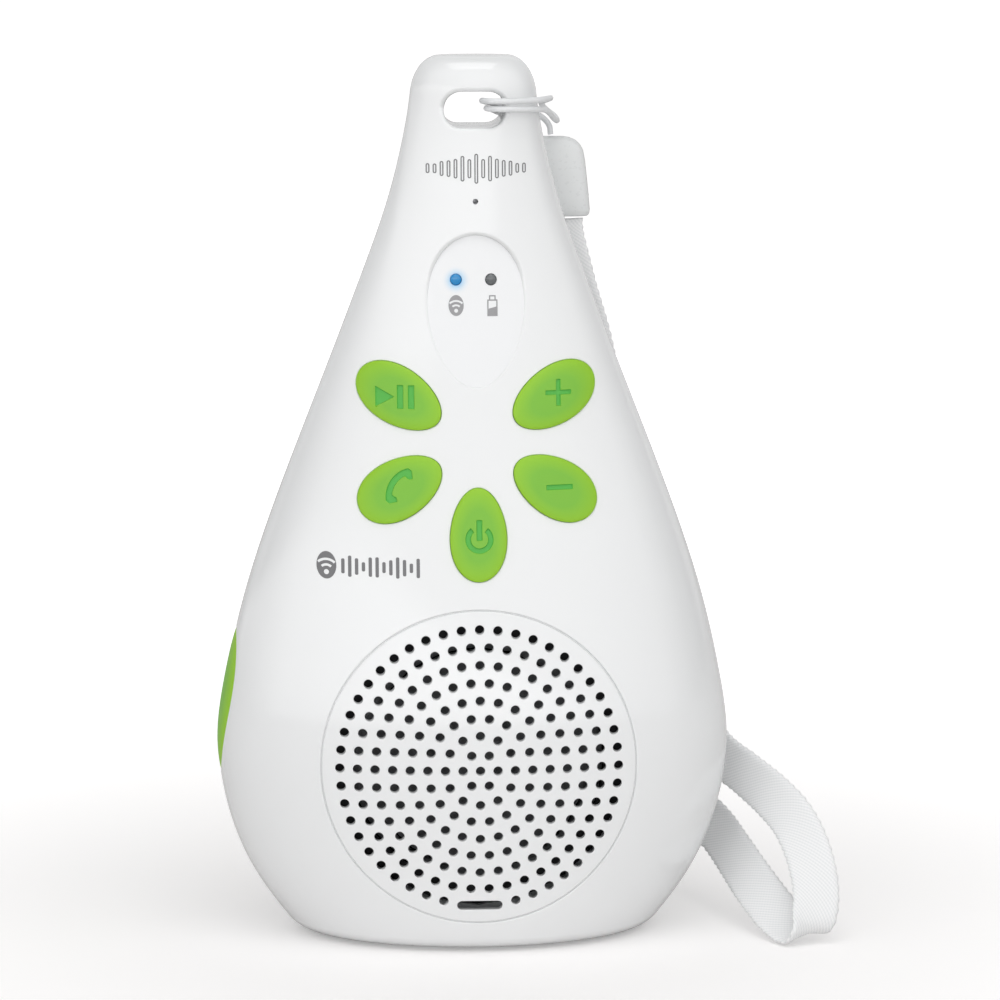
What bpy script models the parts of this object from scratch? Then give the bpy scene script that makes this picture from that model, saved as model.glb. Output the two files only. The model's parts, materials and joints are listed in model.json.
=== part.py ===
"""A drop-shaped wireless shower speaker with its wrist strap, as separate solids.

Frame: metres, +Z up, the front faces -Y, and the origin is at the middle of the underside.
Sizes below are in millimetres. The body is a drop whose level cuts are half ellipses, one
for the front shell and one for the rear shell, which meet at the plane y = 0.
"""

import math

import bmesh
import bpy
import numpy as np
from mathutils import Matrix, Vector
from mathutils.geometry import delaunay_2d_cdt

MM = 0.001
MERGE = 1e-6  # metres: points closer than this are one point
FLAT = math.radians(0.2)  # faces that meet at less than this are one face

# ---------------------------------------------------------------- driving dimensions, mm
BODY_TOP = 148.0
BODY_BOTTOM = 0.6  # the rubber pad holds the shells this far off the floor
WALL = 2.0
GAP = 0.3  # between neighbouring solids
FLOOR_TOP = 2.8  # inside face of the base
CAVITY_TOP = 131.5  # the neck is solid above this, around the hanging slot
BASE_EDGE = 2.0  # radius round the base
CROWN_RISE, CROWN_INSET = 6.0, 4.4  # rounding of the neck's top

# Height, half width, front depth, rear depth.
STATIONS = (
    (0.0, 29.4, 19.4, 19.4),
    (4.0, 32.6, 20.9, 20.9),
    (9.5, 36.5, 22.2, 22.3),
    (18.0, 40.5, 23.4, 23.5),
    (26.6, 42.6, 24.0, 24.0),
    (34.0, 43.05, 23.9, 24.0),
    (43.7, 41.75, 23.0, 23.2),
    (56.5, 38.85, 20.7, 21.2),
    (73.5, 33.3, 16.9, 17.6),
    (95.0, 25.0, 12.3, 12.8),
    (112.0, 18.5, 9.4, 9.7),
    (125.0, 14.0, 7.9, 8.0),
    (133.0, 12.0, 7.2, 7.2),
    (141.0, 10.6, 6.8, 6.8),
    (148.0, 10.05, 6.6, 6.6),
)

SLOT_Z, SLOT_HALF, SLOT_RADIUS = 139.3, 2.4, 2.95  # half the straight run, end radius

FLOWER_Z, PETAL_REACH = 85.0, 14.8  # the five buttons are petals round this point
PETAL_LENGTH, PETAL_WIDTH, PETAL_POINT = 15.4, 9.6, 0.10
BUTTONS = {  # name: direction from the middle of the flower, degrees
    "volume_up": 30,
    "volume_down": -30,
    "power": -90,
    "call": 210,
    "play_pause": 150,
}
FLANGE = 0.8  # lip behind the shell that keeps a button in
BOARD_Y, BOARD_SLOPE, BOARD_THICK = -5.0, 0.222, 1.2  # button board: y at FLOWER_Z, dy/dz
SWITCH_SIDE, SWITCH_HEIGHT, PLUNGER_RADIUS = 4.4, 1.3, 1.0
NUB_RADIUS = 1.5  # foot of a button, which presses its plunger
MEMBRANE_BACK, MEMBRANE_THICK = 2.45, 0.5  # behind the shell's inner face, clear of a pressed button

WINDOW_Z, WINDOW_LENGTH, WINDOW_WIDTH, WINDOW_POINT = 106.5, 24.4, 15.6, 0.14
WINDOW_RINGS = (0.12, 0.45, 0.75, 1.0)  # shares of the badge's outline, from the middle out
LENS_X, LENS_Z, LENS_RADIUS = (-3.3, 2.5), 111.5, 0.9
MIC_Z, MIC_HOLE = 124.3, 0.45

GRILLE_Z, GRILLE_RADIUS, GRILLE_THICK = 31.8, 26.1, 1.5
HOLE_RINGS, RING_PITCH, HOLE_RADIUS = 8, 2.89, 0.77
DRAIN_HALF = 3.0  # half the straight run of the slot in the lowest part of the outer ring

THROAT_RADIUS = 24.4  # opening behind the grille
FLANGE_Y = -13.4  # front of the driver's flange
SEAT_Y = FLANGE_Y - 2 * GAP - 1.0  # the shell's face that the driver's gasket presses on
DRIVER_EAR_REACH = 29.25
CONE_FOOT_Y = -8.2  # where the cone meets its coil

PORT_Y, PORT_Z, PORT_LENGTH, PORT_WIDTH, PORT_POINT = 1.0, 39.6, 25.0, 13.2, -0.10
DOOR_HINGE = (-40.3, 8.2)  # x, y of the upright line that the port door swings on

SCREWS = ((33.0, 22.0), (-33.0, 22.0), (13.5, 104.0), (-13.5, 104.0))  # x, z
SCREW_SEAT = 3.9  # y of the face that the screw heads sit on
PAD_HALF = (22.0, 13.5)

STRAP_WIDTH, STRAP_THICK = 8.0, 1.2
CORD_RADIUS = 0.5


# ---------------------------------------------------------------- the drop's surface
def smooth_curve(knots, values):
    """The natural cubic spline through the values, as a function."""
    knots, values = np.array(knots, float), np.array(values, float)
    step = np.diff(knots)
    count = len(knots)
    system, right = np.eye(count), np.zeros(count)
    for i in range(1, count - 1):
        system[i, i - 1 : i + 2] = step[i - 1], 2 * (step[i - 1] + step[i]), step[i]
        right[i] = 6 * ((values[i + 1] - values[i]) / step[i] - (values[i] - values[i - 1]) / step[i - 1])
    bend = np.linalg.solve(system, right)

    def at(z):
        i = int(np.clip(np.searchsorted(knots, z) - 1, 0, count - 2))
        left, after = knots[i + 1] - z, z - knots[i]
        return (
            (bend[i] * left**3 + bend[i + 1] * after**3) / (6 * step[i])
            + (values[i] / step[i] - bend[i] * step[i] / 6) * left
            + (values[i + 1] / step[i] - bend[i + 1] * step[i] / 6) * after
        )

    return at


HEIGHTS, WIDTHS, FRONTS, REARS = zip(*STATIONS)
half_width = smooth_curve(HEIGHTS, WIDTHS)
front_depth = smooth_curve(HEIGHTS, FRONTS)
rear_depth = smooth_curve(HEIGHTS, REARS)


def end_inset(z):
    """How far the rounding at the base and the crown pulls the surface in."""
    low, high = BODY_BOTTOM + BASE_EDGE, BODY_TOP - CROWN_RISE
    if z < low:
        return BASE_EDGE * (1 - math.sqrt(max(0.0, 1 - ((low - z) / BASE_EDGE) ** 2)))
    if z > high:
        return CROWN_INSET * (1 - math.sqrt(max(0.0, 1 - ((z - high) / CROWN_RISE) ** 2)))
    return 0.0


def section(z, side, inset=0.0):
    """Half width and depth of one shell's half ellipse; side is -1 in front, 1 behind."""
    inset += end_inset(z)
    depth = front_depth(z) if side < 0 else rear_depth(z)
    return half_width(z) - inset, depth - inset


def skin_y(x, z, side=-1, inset=0.0):
    """y of the surface at (x, z)."""
    across, deep = section(z, side, inset)
    return side * deep * math.sqrt(max(0.0, 1 - (x / across) ** 2))


def flank_x(y, z, inset=0.0):
    """x of the left flank at (y, z)."""
    across, deep = section(z, -1 if y < 0 else 1, inset)
    return -across * math.sqrt(max(0.0, 1 - (y / deep) ** 2))


# ---------------------------------------------------------------- modelling helpers
def material(name, colour, roughness, metallic=0.0):
    made = bpy.data.materials.get(name)
    if made is None:
        made = bpy.data.materials.new(name)
        made.use_nodes = True
        shader = made.node_tree.nodes["Principled BSDF"]
        shader.inputs["Base Color"].default_value = (*colour, 1.0)
        shader.inputs["Roughness"].default_value = roughness
        shader.inputs["Metallic"].default_value = metallic
    return made


def white_plastic():
    return material("white_plastic", (0.86, 0.87, 0.87), 0.12)


def green_rubber():
    return material("green_rubber", (0.22, 0.53, 0.05), 0.45)


def dark_plastic():
    return material("dark_plastic", (0.03, 0.03, 0.035), 0.4)


def steel():
    return material("steel", (0.6, 0.6, 0.62), 0.3, 1.0)


def circuit_board():
    return material("circuit_board", (0.02, 0.18, 0.09), 0.5)


def soft_rubber():
    return material("soft_rubber", (0.62, 0.63, 0.63), 0.6)


def webbing():
    return material("webbing", (0.84, 0.85, 0.85), 0.85)


def solid(name, points, faces, finish=None):
    """An object from points in millimetres. Its faces are made to point outwards."""
    mesh = bpy.data.meshes.new(name)
    mesh.from_pydata([Vector(p) * MM for p in points], [], faces)
    work = bmesh.new()
    work.from_mesh(mesh)
    bmesh.ops.remove_doubles(work, verts=work.verts, dist=MERGE)
    bmesh.ops.recalc_face_normals(work, faces=work.faces)
    work.to_mesh(mesh)
    work.free()
    made = bpy.data.objects.new(name, mesh)
    bpy.context.scene.collection.objects.link(made)
    if finish:
        mesh.materials.append(finish)
    return made


def smooth(made, degrees=35):
    """Joins the triangles that lie in one plane, and shades the round faces smooth."""
    work = bmesh.new()
    work.from_mesh(made.data)
    bmesh.ops.dissolve_limit(work, angle_limit=FLAT, verts=work.verts, edges=work.edges)
    work.to_mesh(made.data)
    work.free()
    made.data.shade_smooth()
    made.data.set_sharp_from_angle(angle=math.radians(degrees))
    return made


def combine(target, tool, operation):
    """Applies a Boolean to target and removes the tool."""
    change = target.modifiers.new(operation, "BOOLEAN")
    change.operation = operation
    change.solver = "EXACT"
    change.object = tool
    bpy.context.view_layer.update()
    result = bpy.data.meshes.new_from_object(
        target.evaluated_get(bpy.context.evaluated_depsgraph_get())
    )
    work = bmesh.new()
    work.from_mesh(result)
    bmesh.ops.remove_doubles(work, verts=work.verts, dist=MERGE)
    bmesh.ops.triangulate(work, faces=work.faces)
    work.to_mesh(result)
    work.free()
    target.modifiers.clear()
    target.data = result
    bpy.data.objects.remove(tool)
    return target


def cut(target, tool):
    return combine(target, tool, "DIFFERENCE")


def join(target, tool):
    return combine(target, tool, "UNION")


def loft(name, rings, finish=None):
    """A closed solid through rings of points; a ring of one point closes an end as a fan."""
    points, starts = [], []
    for ring in rings:
        starts.append(len(points))
        points += ring
    faces = []
    for ring, after, a, b in zip(rings, rings[1:], starts, starts[1:]):
        count = max(len(ring), len(after))
        for i in range(count):
            j = (i + 1) % count
            if len(ring) == 1:
                faces.append((a, b + i, b + j))
            elif len(after) == 1:
                faces.append((a + i, a + j, b))
            else:
                faces.append((a + i, a + j, b + j, b + i))
    for ring, start in ((rings[0], starts[0]), (rings[-1], starts[-1])):
        if len(ring) > 1:
            faces.append(tuple(range(start, start + len(ring))))
    return solid(name, points, faces, finish)


def box(name, low, high, finish=None):
    (x0, y0, z0), (x1, y1, z1) = low, high
    ends = [[(x0, y, z0), (x1, y, z0), (x1, y, z1), (x0, y, z1)] for y in (y0, y1)]
    return loft(name, ends, finish)


def circle(radius, steps, x=0.0, z=0.0):
    """Points (x, z) round a circle, starting at its right-hand side."""
    turns = [2 * math.pi * i / steps for i in range(steps)]
    return [(x + radius * math.cos(t), z + radius * math.sin(t)) for t in turns]


def rod(name, x, z, radius, y0, y1, steps=16, finish=None):
    """A round bar along Y."""
    return loft(name, [[(px, y, pz) for px, pz in circle(radius, steps, x, z)] for y in (y0, y1)], finish)


def stadium(half, radius, z, steps=8):
    """A slot's outline (x, z): two half circles joined by straight runs."""
    ends = []
    for side in (1, -1):
        for i in range(steps + 1):
            turn = math.pi * (i / steps - 0.5)
            ends.append((side * (half + radius * math.cos(turn)), z + side * radius * math.sin(turn)))
    return ends


def egg(length, width, point, steps, grow=0.0):
    """An egg's outline (u, v) with its narrow end towards +v when point is above 0."""
    long, wide = length / 2 + grow, width / 2 + grow
    outline = []
    for i in range(steps):
        turn = 2 * math.pi * i / steps
        outline.append((wide * math.sin(turn) * (1 - point * math.cos(turn)), long * math.cos(turn)))
    return outline


def turned(outline, degrees, u, v):
    """The outline with its +v end turned to point along that direction, moved to (u, v)."""
    angle = math.radians(degrees - 90)
    cos, sin = math.cos(angle), math.sin(angle)
    return [(u + a * cos - b * sin, v + a * sin + b * cos) for a, b in outline]


def scaled(outline, share):
    u = sum(p[0] for p in outline) / len(outline)
    v = sum(p[1] for p in outline) / len(outline)
    return [(u + (a - u) * share, v + (b - v) * share) for a, b in outline]


def on_front(outline, offset, inset=0.0):
    """The outline laid on the front skin, then pushed in along Y by offset."""
    return [(x, skin_y(x, z, -1, inset) + offset, z) for x, z in outline]


def on_flank(outline, offset):
    """The outline (y, z) laid on the left flank, then pushed in along X by offset."""
    return [(flank_x(y, z) + offset, y, z) for y, z in outline]


def spun(name, profile, finish=None, steps=20):
    """A closed profile of (radius, y) points, spun about the driver's axis."""
    points, faces = [], []
    count = len(profile)
    for i in range(steps):
        turn = 2 * math.pi * i / steps
        points += [(r * math.cos(turn), y, GRILLE_Z + r * math.sin(turn)) for r, y in profile]
    for i in range(steps):
        a, b = i * count, (i + 1) % steps * count
        for k in range(count):
            m = (k + 1) % count
            if profile[k][0] == 0 and profile[m][0] == 0:
                continue
            if profile[k][0] == 0:
                faces.append((a + k, b + m, a + m))
            elif profile[m][0] == 0:
                faces.append((a + k, b + k, a + m))
            else:
                faces.append((a + k, b + k, b + m, a + m))
    return smooth(solid(name, points, faces, finish))


def through(points, per_span):
    """A smooth line through the points: Catmull-Rom, with per_span steps to each span."""
    points = [Vector(p) for p in points]
    ends = [2 * points[0] - points[1], *points, 2 * points[-1] - points[-2]]
    line = []
    for before, a, b, after in zip(ends, ends[1:], ends[2:], ends[3:]):
        for i in range(per_span):
            t = i / per_span
            line.append(
                0.5
                * (
                    2 * a
                    + (b - before) * t
                    + (2 * before - 5 * a + 4 * b - after) * t * t
                    + (3 * a - before - 3 * b + after) * t**3
                )
            )
    return line + [points[-1]]


def wire(name, route, radius, finish, per_span=3, resolution=2):
    """A round cable along a smooth line through the route's points."""
    line = through(route, per_span)
    curve = bpy.data.curves.new(name, "CURVE")
    curve.dimensions = "3D"
    curve.bevel_depth = radius * MM
    curve.bevel_resolution = resolution
    curve.use_fill_caps = True
    spline = curve.splines.new("POLY")
    spline.points.add(len(line) - 1)
    for point, place in zip(spline.points, line):
        point.co = (*(place * MM), 1.0)
    curve.materials.append(finish)
    made = bpy.data.objects.new(name, curve)
    bpy.context.scene.collection.objects.link(made)
    return made


def ribbon(name, line, across, width, thick, finish):
    """A flat band along a line; across gives the direction of its width at each point."""
    rings = []
    for i, (place, wide) in enumerate(zip(line, across)):
        ahead = line[min(i + 1, len(line) - 1)] - line[max(i - 1, 0)]
        wide = (wide - ahead.normalized() * wide.dot(ahead.normalized())).normalized()
        face = ahead.cross(wide).normalized()
        a, b = wide * width / 2, face * thick / 2
        rings.append([place - a - b, place + a - b, place + a + b, place - a + b])
    return smooth(loft(name, rings, finish), 50)


def pivot_at(made, point):
    """Moves the object's origin to a point without moving its shape."""
    made.data.transform(Matrix.Translation(-Vector(point) * MM))
    made.location = Vector(point) * MM
    return made


# ---------------------------------------------------------------- shells
def body_levels():
    base = [BODY_BOTTOM + BASE_EDGE * (1 - math.cos(math.radians(a))) for a in (0, 35, 65, 90)]
    middle = [7, 12, 18, 25, 33, 42, 52, 63, 75, 88, 101, 113, 123, 132, 138]
    crown = [BODY_TOP - CROWN_RISE * (1 - math.sin(math.radians(a))) for a in (0, 25, 50, 70, 90)]
    return base + middle + crown


def half_body(name, side, steps=16):
    """One half of the drop, closed at the plane where the shells meet."""
    rings = []
    for z in body_levels():
        across, deep = section(z, side)
        turns = [math.pi * i / steps for i in range(steps + 1)]
        rings.append([(across * math.cos(t), side * max(GAP / 2, deep * math.sin(t)), z) for t in turns])
    return loft(name, rings)


def half_inside(name, side, inset, low, high, steps=14):
    """The space a set distance inside one shell, run past the joint plane to cut right through."""
    rings = []
    for z in (low, 7, 12, 18, 25, 33, 42, 52, 63, 75, 88, 101, 114, 124, high):
        across, deep = section(max(z, BODY_BOTTOM + BASE_EDGE), side, inset)
        turns = [math.pi * i / steps for i in range(steps + 1)]
        arc = [(across * math.cos(t), side * deep * math.sin(t), z) for t in turns]
        rings.append([(across, -side, z), *arc, (-across, -side, z)])
    return loft(name, rings)


def within_wall(made, side):
    """Trims a boss to end half way through the shell's wall."""
    limit = half_inside("limit", side, WALL / 2, FLOOR_TOP - WALL / 2, CAVITY_TOP + 3)
    return combine(made, limit, "INTERSECT")


def post(side, x, z, radius, y_end):
    """A screw post, from the shell to y_end."""
    return within_wall(rod("post", x, z, radius, y_end, side * 40, 14), side)


def port_opening(grow):
    """The outline (y, z) of the port door, grown by a distance."""
    return turned(egg(PORT_LENGTH, PORT_WIDTH, PORT_POINT, 24, grow), 90, PORT_Y, PORT_Z)


def pad_outline(grow, steps=32):
    """The foot pad's outline (x, y), grown by a distance."""
    turns = [2 * math.pi * (i + 0.5) / steps for i in range(steps)]
    return [((PAD_HALF[0] + grow) * math.cos(t), (PAD_HALF[1] + grow) * math.sin(t)) for t in turns]


def shell(name, side):
    """What both shells share: the skin, the slot, the port and pad cut-outs, the posts."""
    made = cut(half_body(name, side), half_inside("cavity", side, WALL, FLOOR_TOP, CAVITY_TOP))
    made.data.materials.append(white_plastic())
    for x, z in SCREWS:
        made = join(made, post(side, x, z, 3.5, side * GAP * 1.5))
    slot = stadium(SLOT_HALF, SLOT_RADIUS, SLOT_Z)
    cut(made, loft("slot", [[(x, y, z) for x, z in slot] for y in (-12, 12)]))
    port = port_opening(GAP)
    cut(made, loft("port", [[(x, y, z) for y, z in port] for x in (-50, -34)]))
    pad = pad_outline(GAP)
    cut(made, loft("pad", [[(x, y, z) for x, y in pad] for z in (-1, BODY_BOTTOM + 0.6)]))
    return made


def petal_middle(name):
    angle = math.radians(BUTTONS[name])
    return PETAL_REACH * math.cos(angle), FLOWER_Z + PETAL_REACH * math.sin(angle)


def petal(name, grow=0.0, steps=18):
    """A button's outline (x, z), narrow end towards the middle of the flower."""
    x, z = petal_middle(name)
    return turned(egg(PETAL_LENGTH, PETAL_WIDTH, PETAL_POINT, steps, grow), BUTTONS[name] + 180, x, z)


def window_outline(grow=0.0, steps=28):
    outline = egg(WINDOW_LENGTH, WINDOW_WIDTH, WINDOW_POINT, steps, grow)
    return turned(outline, -90, 0.0, WINDOW_Z)


def window_depth(z):
    """The badge lies in a dish, deepest under its top edge and level at its foot."""
    share = (z - (WINDOW_Z - WINDOW_LENGTH / 2)) / WINDOW_LENGTH
    return 0.12 + 0.75 * max(0.0, share) ** 2


def laid_in_window(outline, more):
    return [(x, skin_y(x, z) + window_depth(z) + more, z) for x, z in outline]


def front_shell():
    made = shell("front_shell", -1)
    seat = rod("seat", 0, GRILLE_Z, GRILLE_RADIUS + 2.5, -40, SEAT_Y, 32)
    made = join(made, within_wall(seat, -1))
    for x, z in driver_ears():
        made = join(made, post(-1, x, z, 2.4, FLANGE_Y - GAP))
    opening = circle(GRILLE_RADIUS + GAP, 40, 0, GRILLE_Z)
    floor = [on_front(scaled(opening, share), GRILLE_THICK + GAP) for share in (1, 0.92, 0.5)]
    middle = on_front([(0, GRILLE_Z)], GRILLE_THICK + GAP)
    cut(made, loft("mouth", [[(x, -40, z) for x, z in opening], *floor, middle]))
    cut(made, rod("throat", 0, GRILLE_Z, THROAT_RADIUS, -40, 0, 32))
    for name in BUTTONS:
        outline = petal(name, GAP)
        cut(made, loft("hole", [[(x, y, z) for x, z in outline] for y in (-30, 0)]))
    dish = window_outline(GAP)
    floor = [laid_in_window(scaled(dish, share), 1.0) for share in reversed(WINDOW_RINGS)]
    cut(made, loft("dish", [[(x, -30, z) for x, z in dish], *floor]))
    for x in LENS_X:
        cut(made, rod("lens_hole", x, LENS_Z, LENS_RADIUS + GAP, -30, 0, 12))
    cut(made, rod("mic_hole", 0, MIC_Z, MIC_HOLE, -30, 0, 8))
    for x, z in driver_ears():
        cut(made, rod("pilot", x, z, 1.05, -16.4, 0, 10))
    for x, z in SCREWS:
        cut(made, rod("pilot", x, z, 1.3, -5.4, 5, 10))
    return smooth(made)


def rear_shell():
    made = shell("rear_shell", 1)
    for x, z in SCREWS:
        cut(made, rod("counterbore", x, z, 2.7, SCREW_SEAT, 40, 16))
        cut(made, rod("bore", x, z, 1.3, -5, 10, 10))
    return smooth(made)


def shell_seal():
    """A soft band inside the joint, from the top of the port round to its foot."""
    sides = np.linspace(CAVITY_TOP - 1.2, 55.0, 12)
    left = [(-(half_width(z) - WALL - 1.3), z) for z in sides]
    right = [(half_width(z) - WALL - 1.0, z) for z in np.linspace(CAVITY_TOP - 1.2, 8.0, 18)]
    floor = [(27.5, FLOOR_TOP + 1.3), (0.0, FLOOR_TOP + 1.0), (-27.5, FLOOR_TOP + 1.3)]
    last = [(-(half_width(z) - WALL - 1.3), z) for z in np.linspace(8.0, 23.5, 4)]
    path = [Vector((x, 0, z)) for x, z in left[::-1] + right + floor + last]
    across = [Vector((0, 1, 0))] * len(path)
    return ribbon("shell_seal", path, across, 2.6, 1.0, soft_rubber())


def base_pad():
    outline = pad_outline(0.0)
    edge = 0.25
    inner = pad_outline(-edge)
    top = BODY_BOTTOM + 0.6 - GAP
    rings = [
        [(x, y, 0.0) for x, y in inner],
        [(x, y, edge) for x, y in outline],
        [(x, y, top) for x, y in outline],
    ]
    return loft("base_pad", rings, soft_rubber())


def rear_screws():
    for number, (x, z) in enumerate(SCREWS, 1):
        seat = SCREW_SEAT + GAP
        head = rod(f"rear_screw_{number}", x, z, 2.2, seat, seat + 1.5, 14, steel())
        join(head, rod("shank", x, z, 0.95, -5.0, seat + 0.5, 8))
        for turn in (0, 90):
            arm = box("recess", (-1.3, seat + 0.8, -0.3), (1.3, seat + 3, 0.3))
            arm.data.transform(Matrix.Rotation(math.radians(turn), 4, "Y"))
            arm.data.transform(Matrix.Translation(Vector((x, 0, z)) * MM))
            cut(head, arm)


# ---------------------------------------------------------------- buttons and window
def board_y(z):
    """Front face of the button board, which leans with the front of the drop."""
    return BOARD_Y + BOARD_SLOPE * (z - FLOWER_Z)


def press_direction():
    """Into the board, square to its face."""
    return Vector((0, 1, -BOARD_SLOPE)).normalized()


def bar(name, start, end, radius, steps, finish=None):
    """A round bar between two points."""
    start, end = Vector(start), Vector(end)
    turn = Vector((0, 0, 1)).rotation_difference(end - start).to_matrix()
    rings = []
    for place in (start, end):
        rings.append([place + turn @ Vector((x, y, 0)) for x, y in circle(radius, steps)])
    return loft(name, rings, finish)


def button(name):
    """A rubber button: crowned face, straight sides, and a lip behind the shell."""
    outline, lip = petal(name), petal(name, FLANGE)
    x, z = petal_middle(name)
    behind = 0.5
    rings = [on_front([(x, z)], -0.85)]
    for share, proud in ((0.5, 0.82), (0.88, 0.62), (1.0, 0.25)):
        rings.append(on_front(scaled(outline, share), -proud))
    rings.append(on_front(outline, behind, WALL))
    rings.append(on_front(lip, behind, WALL))
    rings.append(on_front(lip, behind + 0.7, WALL))
    rings.append(on_front([(x, z)], behind + 0.7, WALL))
    made = loft(f"{name}_button", rings, green_rubber())
    inward = press_direction()
    foot = Vector((x, board_y(z), z)) - inward * (SWITCH_HEIGHT + 0.6 + GAP)
    depth = board_y(z) - skin_y(x, z, -1, WALL)
    join(made, bar("nub", foot - inward * (depth - 2.6), foot, NUB_RADIUS, 10))
    return pivot_at(smooth(made, 40), (x, skin_y(x, z), z))


def switch(name, parent):
    """A press switch: a square housing on the board and a plunger that moves with the button."""
    x, z = petal_middle(name)
    inward = press_direction()
    base = Vector((x, board_y(z), z)) - inward * GAP
    up = Vector((0, BOARD_SLOPE, 1)).normalized()
    half = SWITCH_SIDE / 2
    corners = [(-half, -half), (half, -half), (half, half), (-half, half)]
    rings = []
    for height in (0.0, SWITCH_HEIGHT):
        rings.append([base - inward * height + Vector((a, 0, 0)) + up * b for a, b in corners])
    housing = loft(f"{name}_switch", rings, dark_plastic())
    top = base - inward * SWITCH_HEIGHT
    cut(housing, bar("well", base - inward * 0.35, top - inward, PLUNGER_RADIUS + GAP, 12))
    plunger = bar(
        f"{name}_plunger", top + inward * 0.2, top - inward * 0.3, PLUNGER_RADIUS, 10, soft_rubber()
    )
    pivot_at(plunger, parent.location / MM)
    plunger.parent = parent
    plunger.matrix_parent_inverse = parent.matrix_basis.inverted()


def plate_with_holes(name, rim, holes, place, thick, finish):
    """A plate from a flat net of triangles between its rim and its holes.

    place(x, z, depth) puts a point of the net in space, depth 0 in front and thick behind.
    """
    loops = [rim, *holes]
    flat, edges, owner = [], [], []
    for number, loop in enumerate(loops):
        start = len(flat)
        flat += [Vector(p) for p in loop]
        owner += [number] * len(loop)
        edges += [(start + i, start + (i + 1) % len(loop)) for i in range(len(loop))]
    net = delaunay_2d_cdt(flat, edges, [], 1, 1e-7)
    triangles = [t for t in net[2] if not (owner[t[0]] == owner[t[1]] == owner[t[2]] > 0)]
    count = len(flat)
    points = [place(x, z, 0.0) for x, z in net[0]] + [place(x, z, thick) for x, z in net[0]]
    faces = [tuple(t) for t in triangles] + [tuple(i + count for i in reversed(t)) for t in triangles]
    faces += [(a, b, b + count, a + count) for a, b in edges]
    return solid(name, points, faces, finish)


def keypad_membrane():
    """A soft sheet behind the buttons that keeps water out; their feet pass through it."""
    turns = [2 * math.pi * i / 36 for i in range(36)]
    rim = [(20.5 * math.cos(t), 84.0 + 18.5 * math.sin(t)) for t in turns]
    holes = []
    for name in BUTTONS:
        x, z = petal_middle(name)
        reach = board_y(z) - skin_y(x, z, -1, WALL) - MEMBRANE_BACK - MEMBRANE_THICK / 2
        holes.append(circle(NUB_RADIUS + 2 * GAP, 12, x, z + BOARD_SLOPE * reach))

    def place(x, z, depth):
        return x, skin_y(x, z, -1, WALL) + MEMBRANE_BACK + depth, z

    return plate_with_holes("keypad_membrane", rim, holes, place, MEMBRANE_THICK, soft_rubber())


def status_window():
    """The pearl badge: an egg laid in its dish, with a hole for each lens."""
    rim = window_outline()
    front = [laid_in_window(scaled(rim, share), 0.0) for share in WINDOW_RINGS]
    back = [laid_in_window(scaled(rim, share), 0.7) for share in reversed(WINDOW_RINGS)]
    made = loft("status_window", front + back, white_plastic())
    for x in LENS_X:
        cut(made, rod("lens_hole", x, LENS_Z, LENS_RADIUS + 0.2, -30, 0, 12))
    return smooth(made)


def lens(name, x, colour):
    """A light pipe from the badge back to its lamp on the button board."""
    z = LENS_Z
    front = skin_y(x, z) + window_depth(z)
    made = rod(name, x, z, LENS_RADIUS, front, board_y(z) - 1.2, 14, material(name, colour, 0.1))
    return smooth(made)


# ---------------------------------------------------------------- loudspeaker
def driver_ears():
    reach = DRIVER_EAR_REACH * math.sqrt(0.5)
    return [(sx * reach, GRILLE_Z + sz * reach) for sx in (1, -1) for sz in (1, -1)]


def grille_holes():
    """Rings of 6, 12, 18 ... holes round a middle one; a slot takes three of the lowest."""
    corner = HOLE_RADIUS * math.sqrt(math.pi / 2)  # a square of the round hole's area
    holes = [circle(corner, 4, 0, GRILLE_Z)]
    for ring in range(1, HOLE_RINGS + 1):
        for i in range(6 * ring):
            degrees = 60 * i / ring
            if ring == HOLE_RINGS and abs(degrees - 270) < 8:
                continue
            turn = math.radians(degrees)
            reach = ring * RING_PITCH
            x, z = reach * math.cos(turn), GRILLE_Z + reach * math.sin(turn)
            holes.append(circle(corner, 4, x, z))
    drain = stadium(DRAIN_HALF, HOLE_RADIUS, GRILLE_Z - HOLE_RINGS * RING_PITCH, 3)
    return holes + [drain]


def speaker_grille():
    def place(x, z, depth):
        return x, skin_y(x, z) + depth, z

    rim = circle(GRILLE_RADIUS, 40, 0, GRILLE_Z)
    made = plate_with_holes(
        "speaker_grille", rim, grille_holes(), place, GRILLE_THICK, white_plastic()
    )
    return smooth(made)


def speaker_gasket():
    front = FLANGE_Y - GAP
    profile = [(24.8, front), (24.8, front - 1.0), (26.5, front - 1.0), (26.5, front)]
    return spun("speaker_gasket", profile, soft_rubber())


def speaker_basket():
    """The driver's frame: a flange with four ears, and a cone of struts down to the magnet."""
    back = FLANGE_Y + 1.2
    profile = [
        (26.6, FLANGE_Y),
        (26.6, back),
        (22.6, back),
        (17.2, -7.0),
        (14.0, -4.7),
        (9.0, -4.7),
        (9.0, -5.9),
        (14.0, -5.9),
        (16.2, -7.4),
        (21.4, back - 0.4),
        (21.4, FLANGE_Y),
    ]
    made = spun("speaker_basket", profile, dark_plastic())
    for x, z in driver_ears():
        join(made, rod("ear", x, z, 3.3, FLANGE_Y, back, 12))
        cut(made, rod("hole", x, z, 1.25, FLANGE_Y - 1, back + 1, 8))
    for turn in (0, 90, 180, 270):
        window = box("window", (17.0, -11.4, -7.5), (30.0, -7.6, 7.5))
        window.data.transform(Matrix.Rotation(math.radians(turn + 0.5), 4, "Y"))
        window.data.transform(Matrix.Translation(Vector((0, 0, GRILLE_Z)) * MM))
        cut(made, window)
    return smooth(made)


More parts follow.
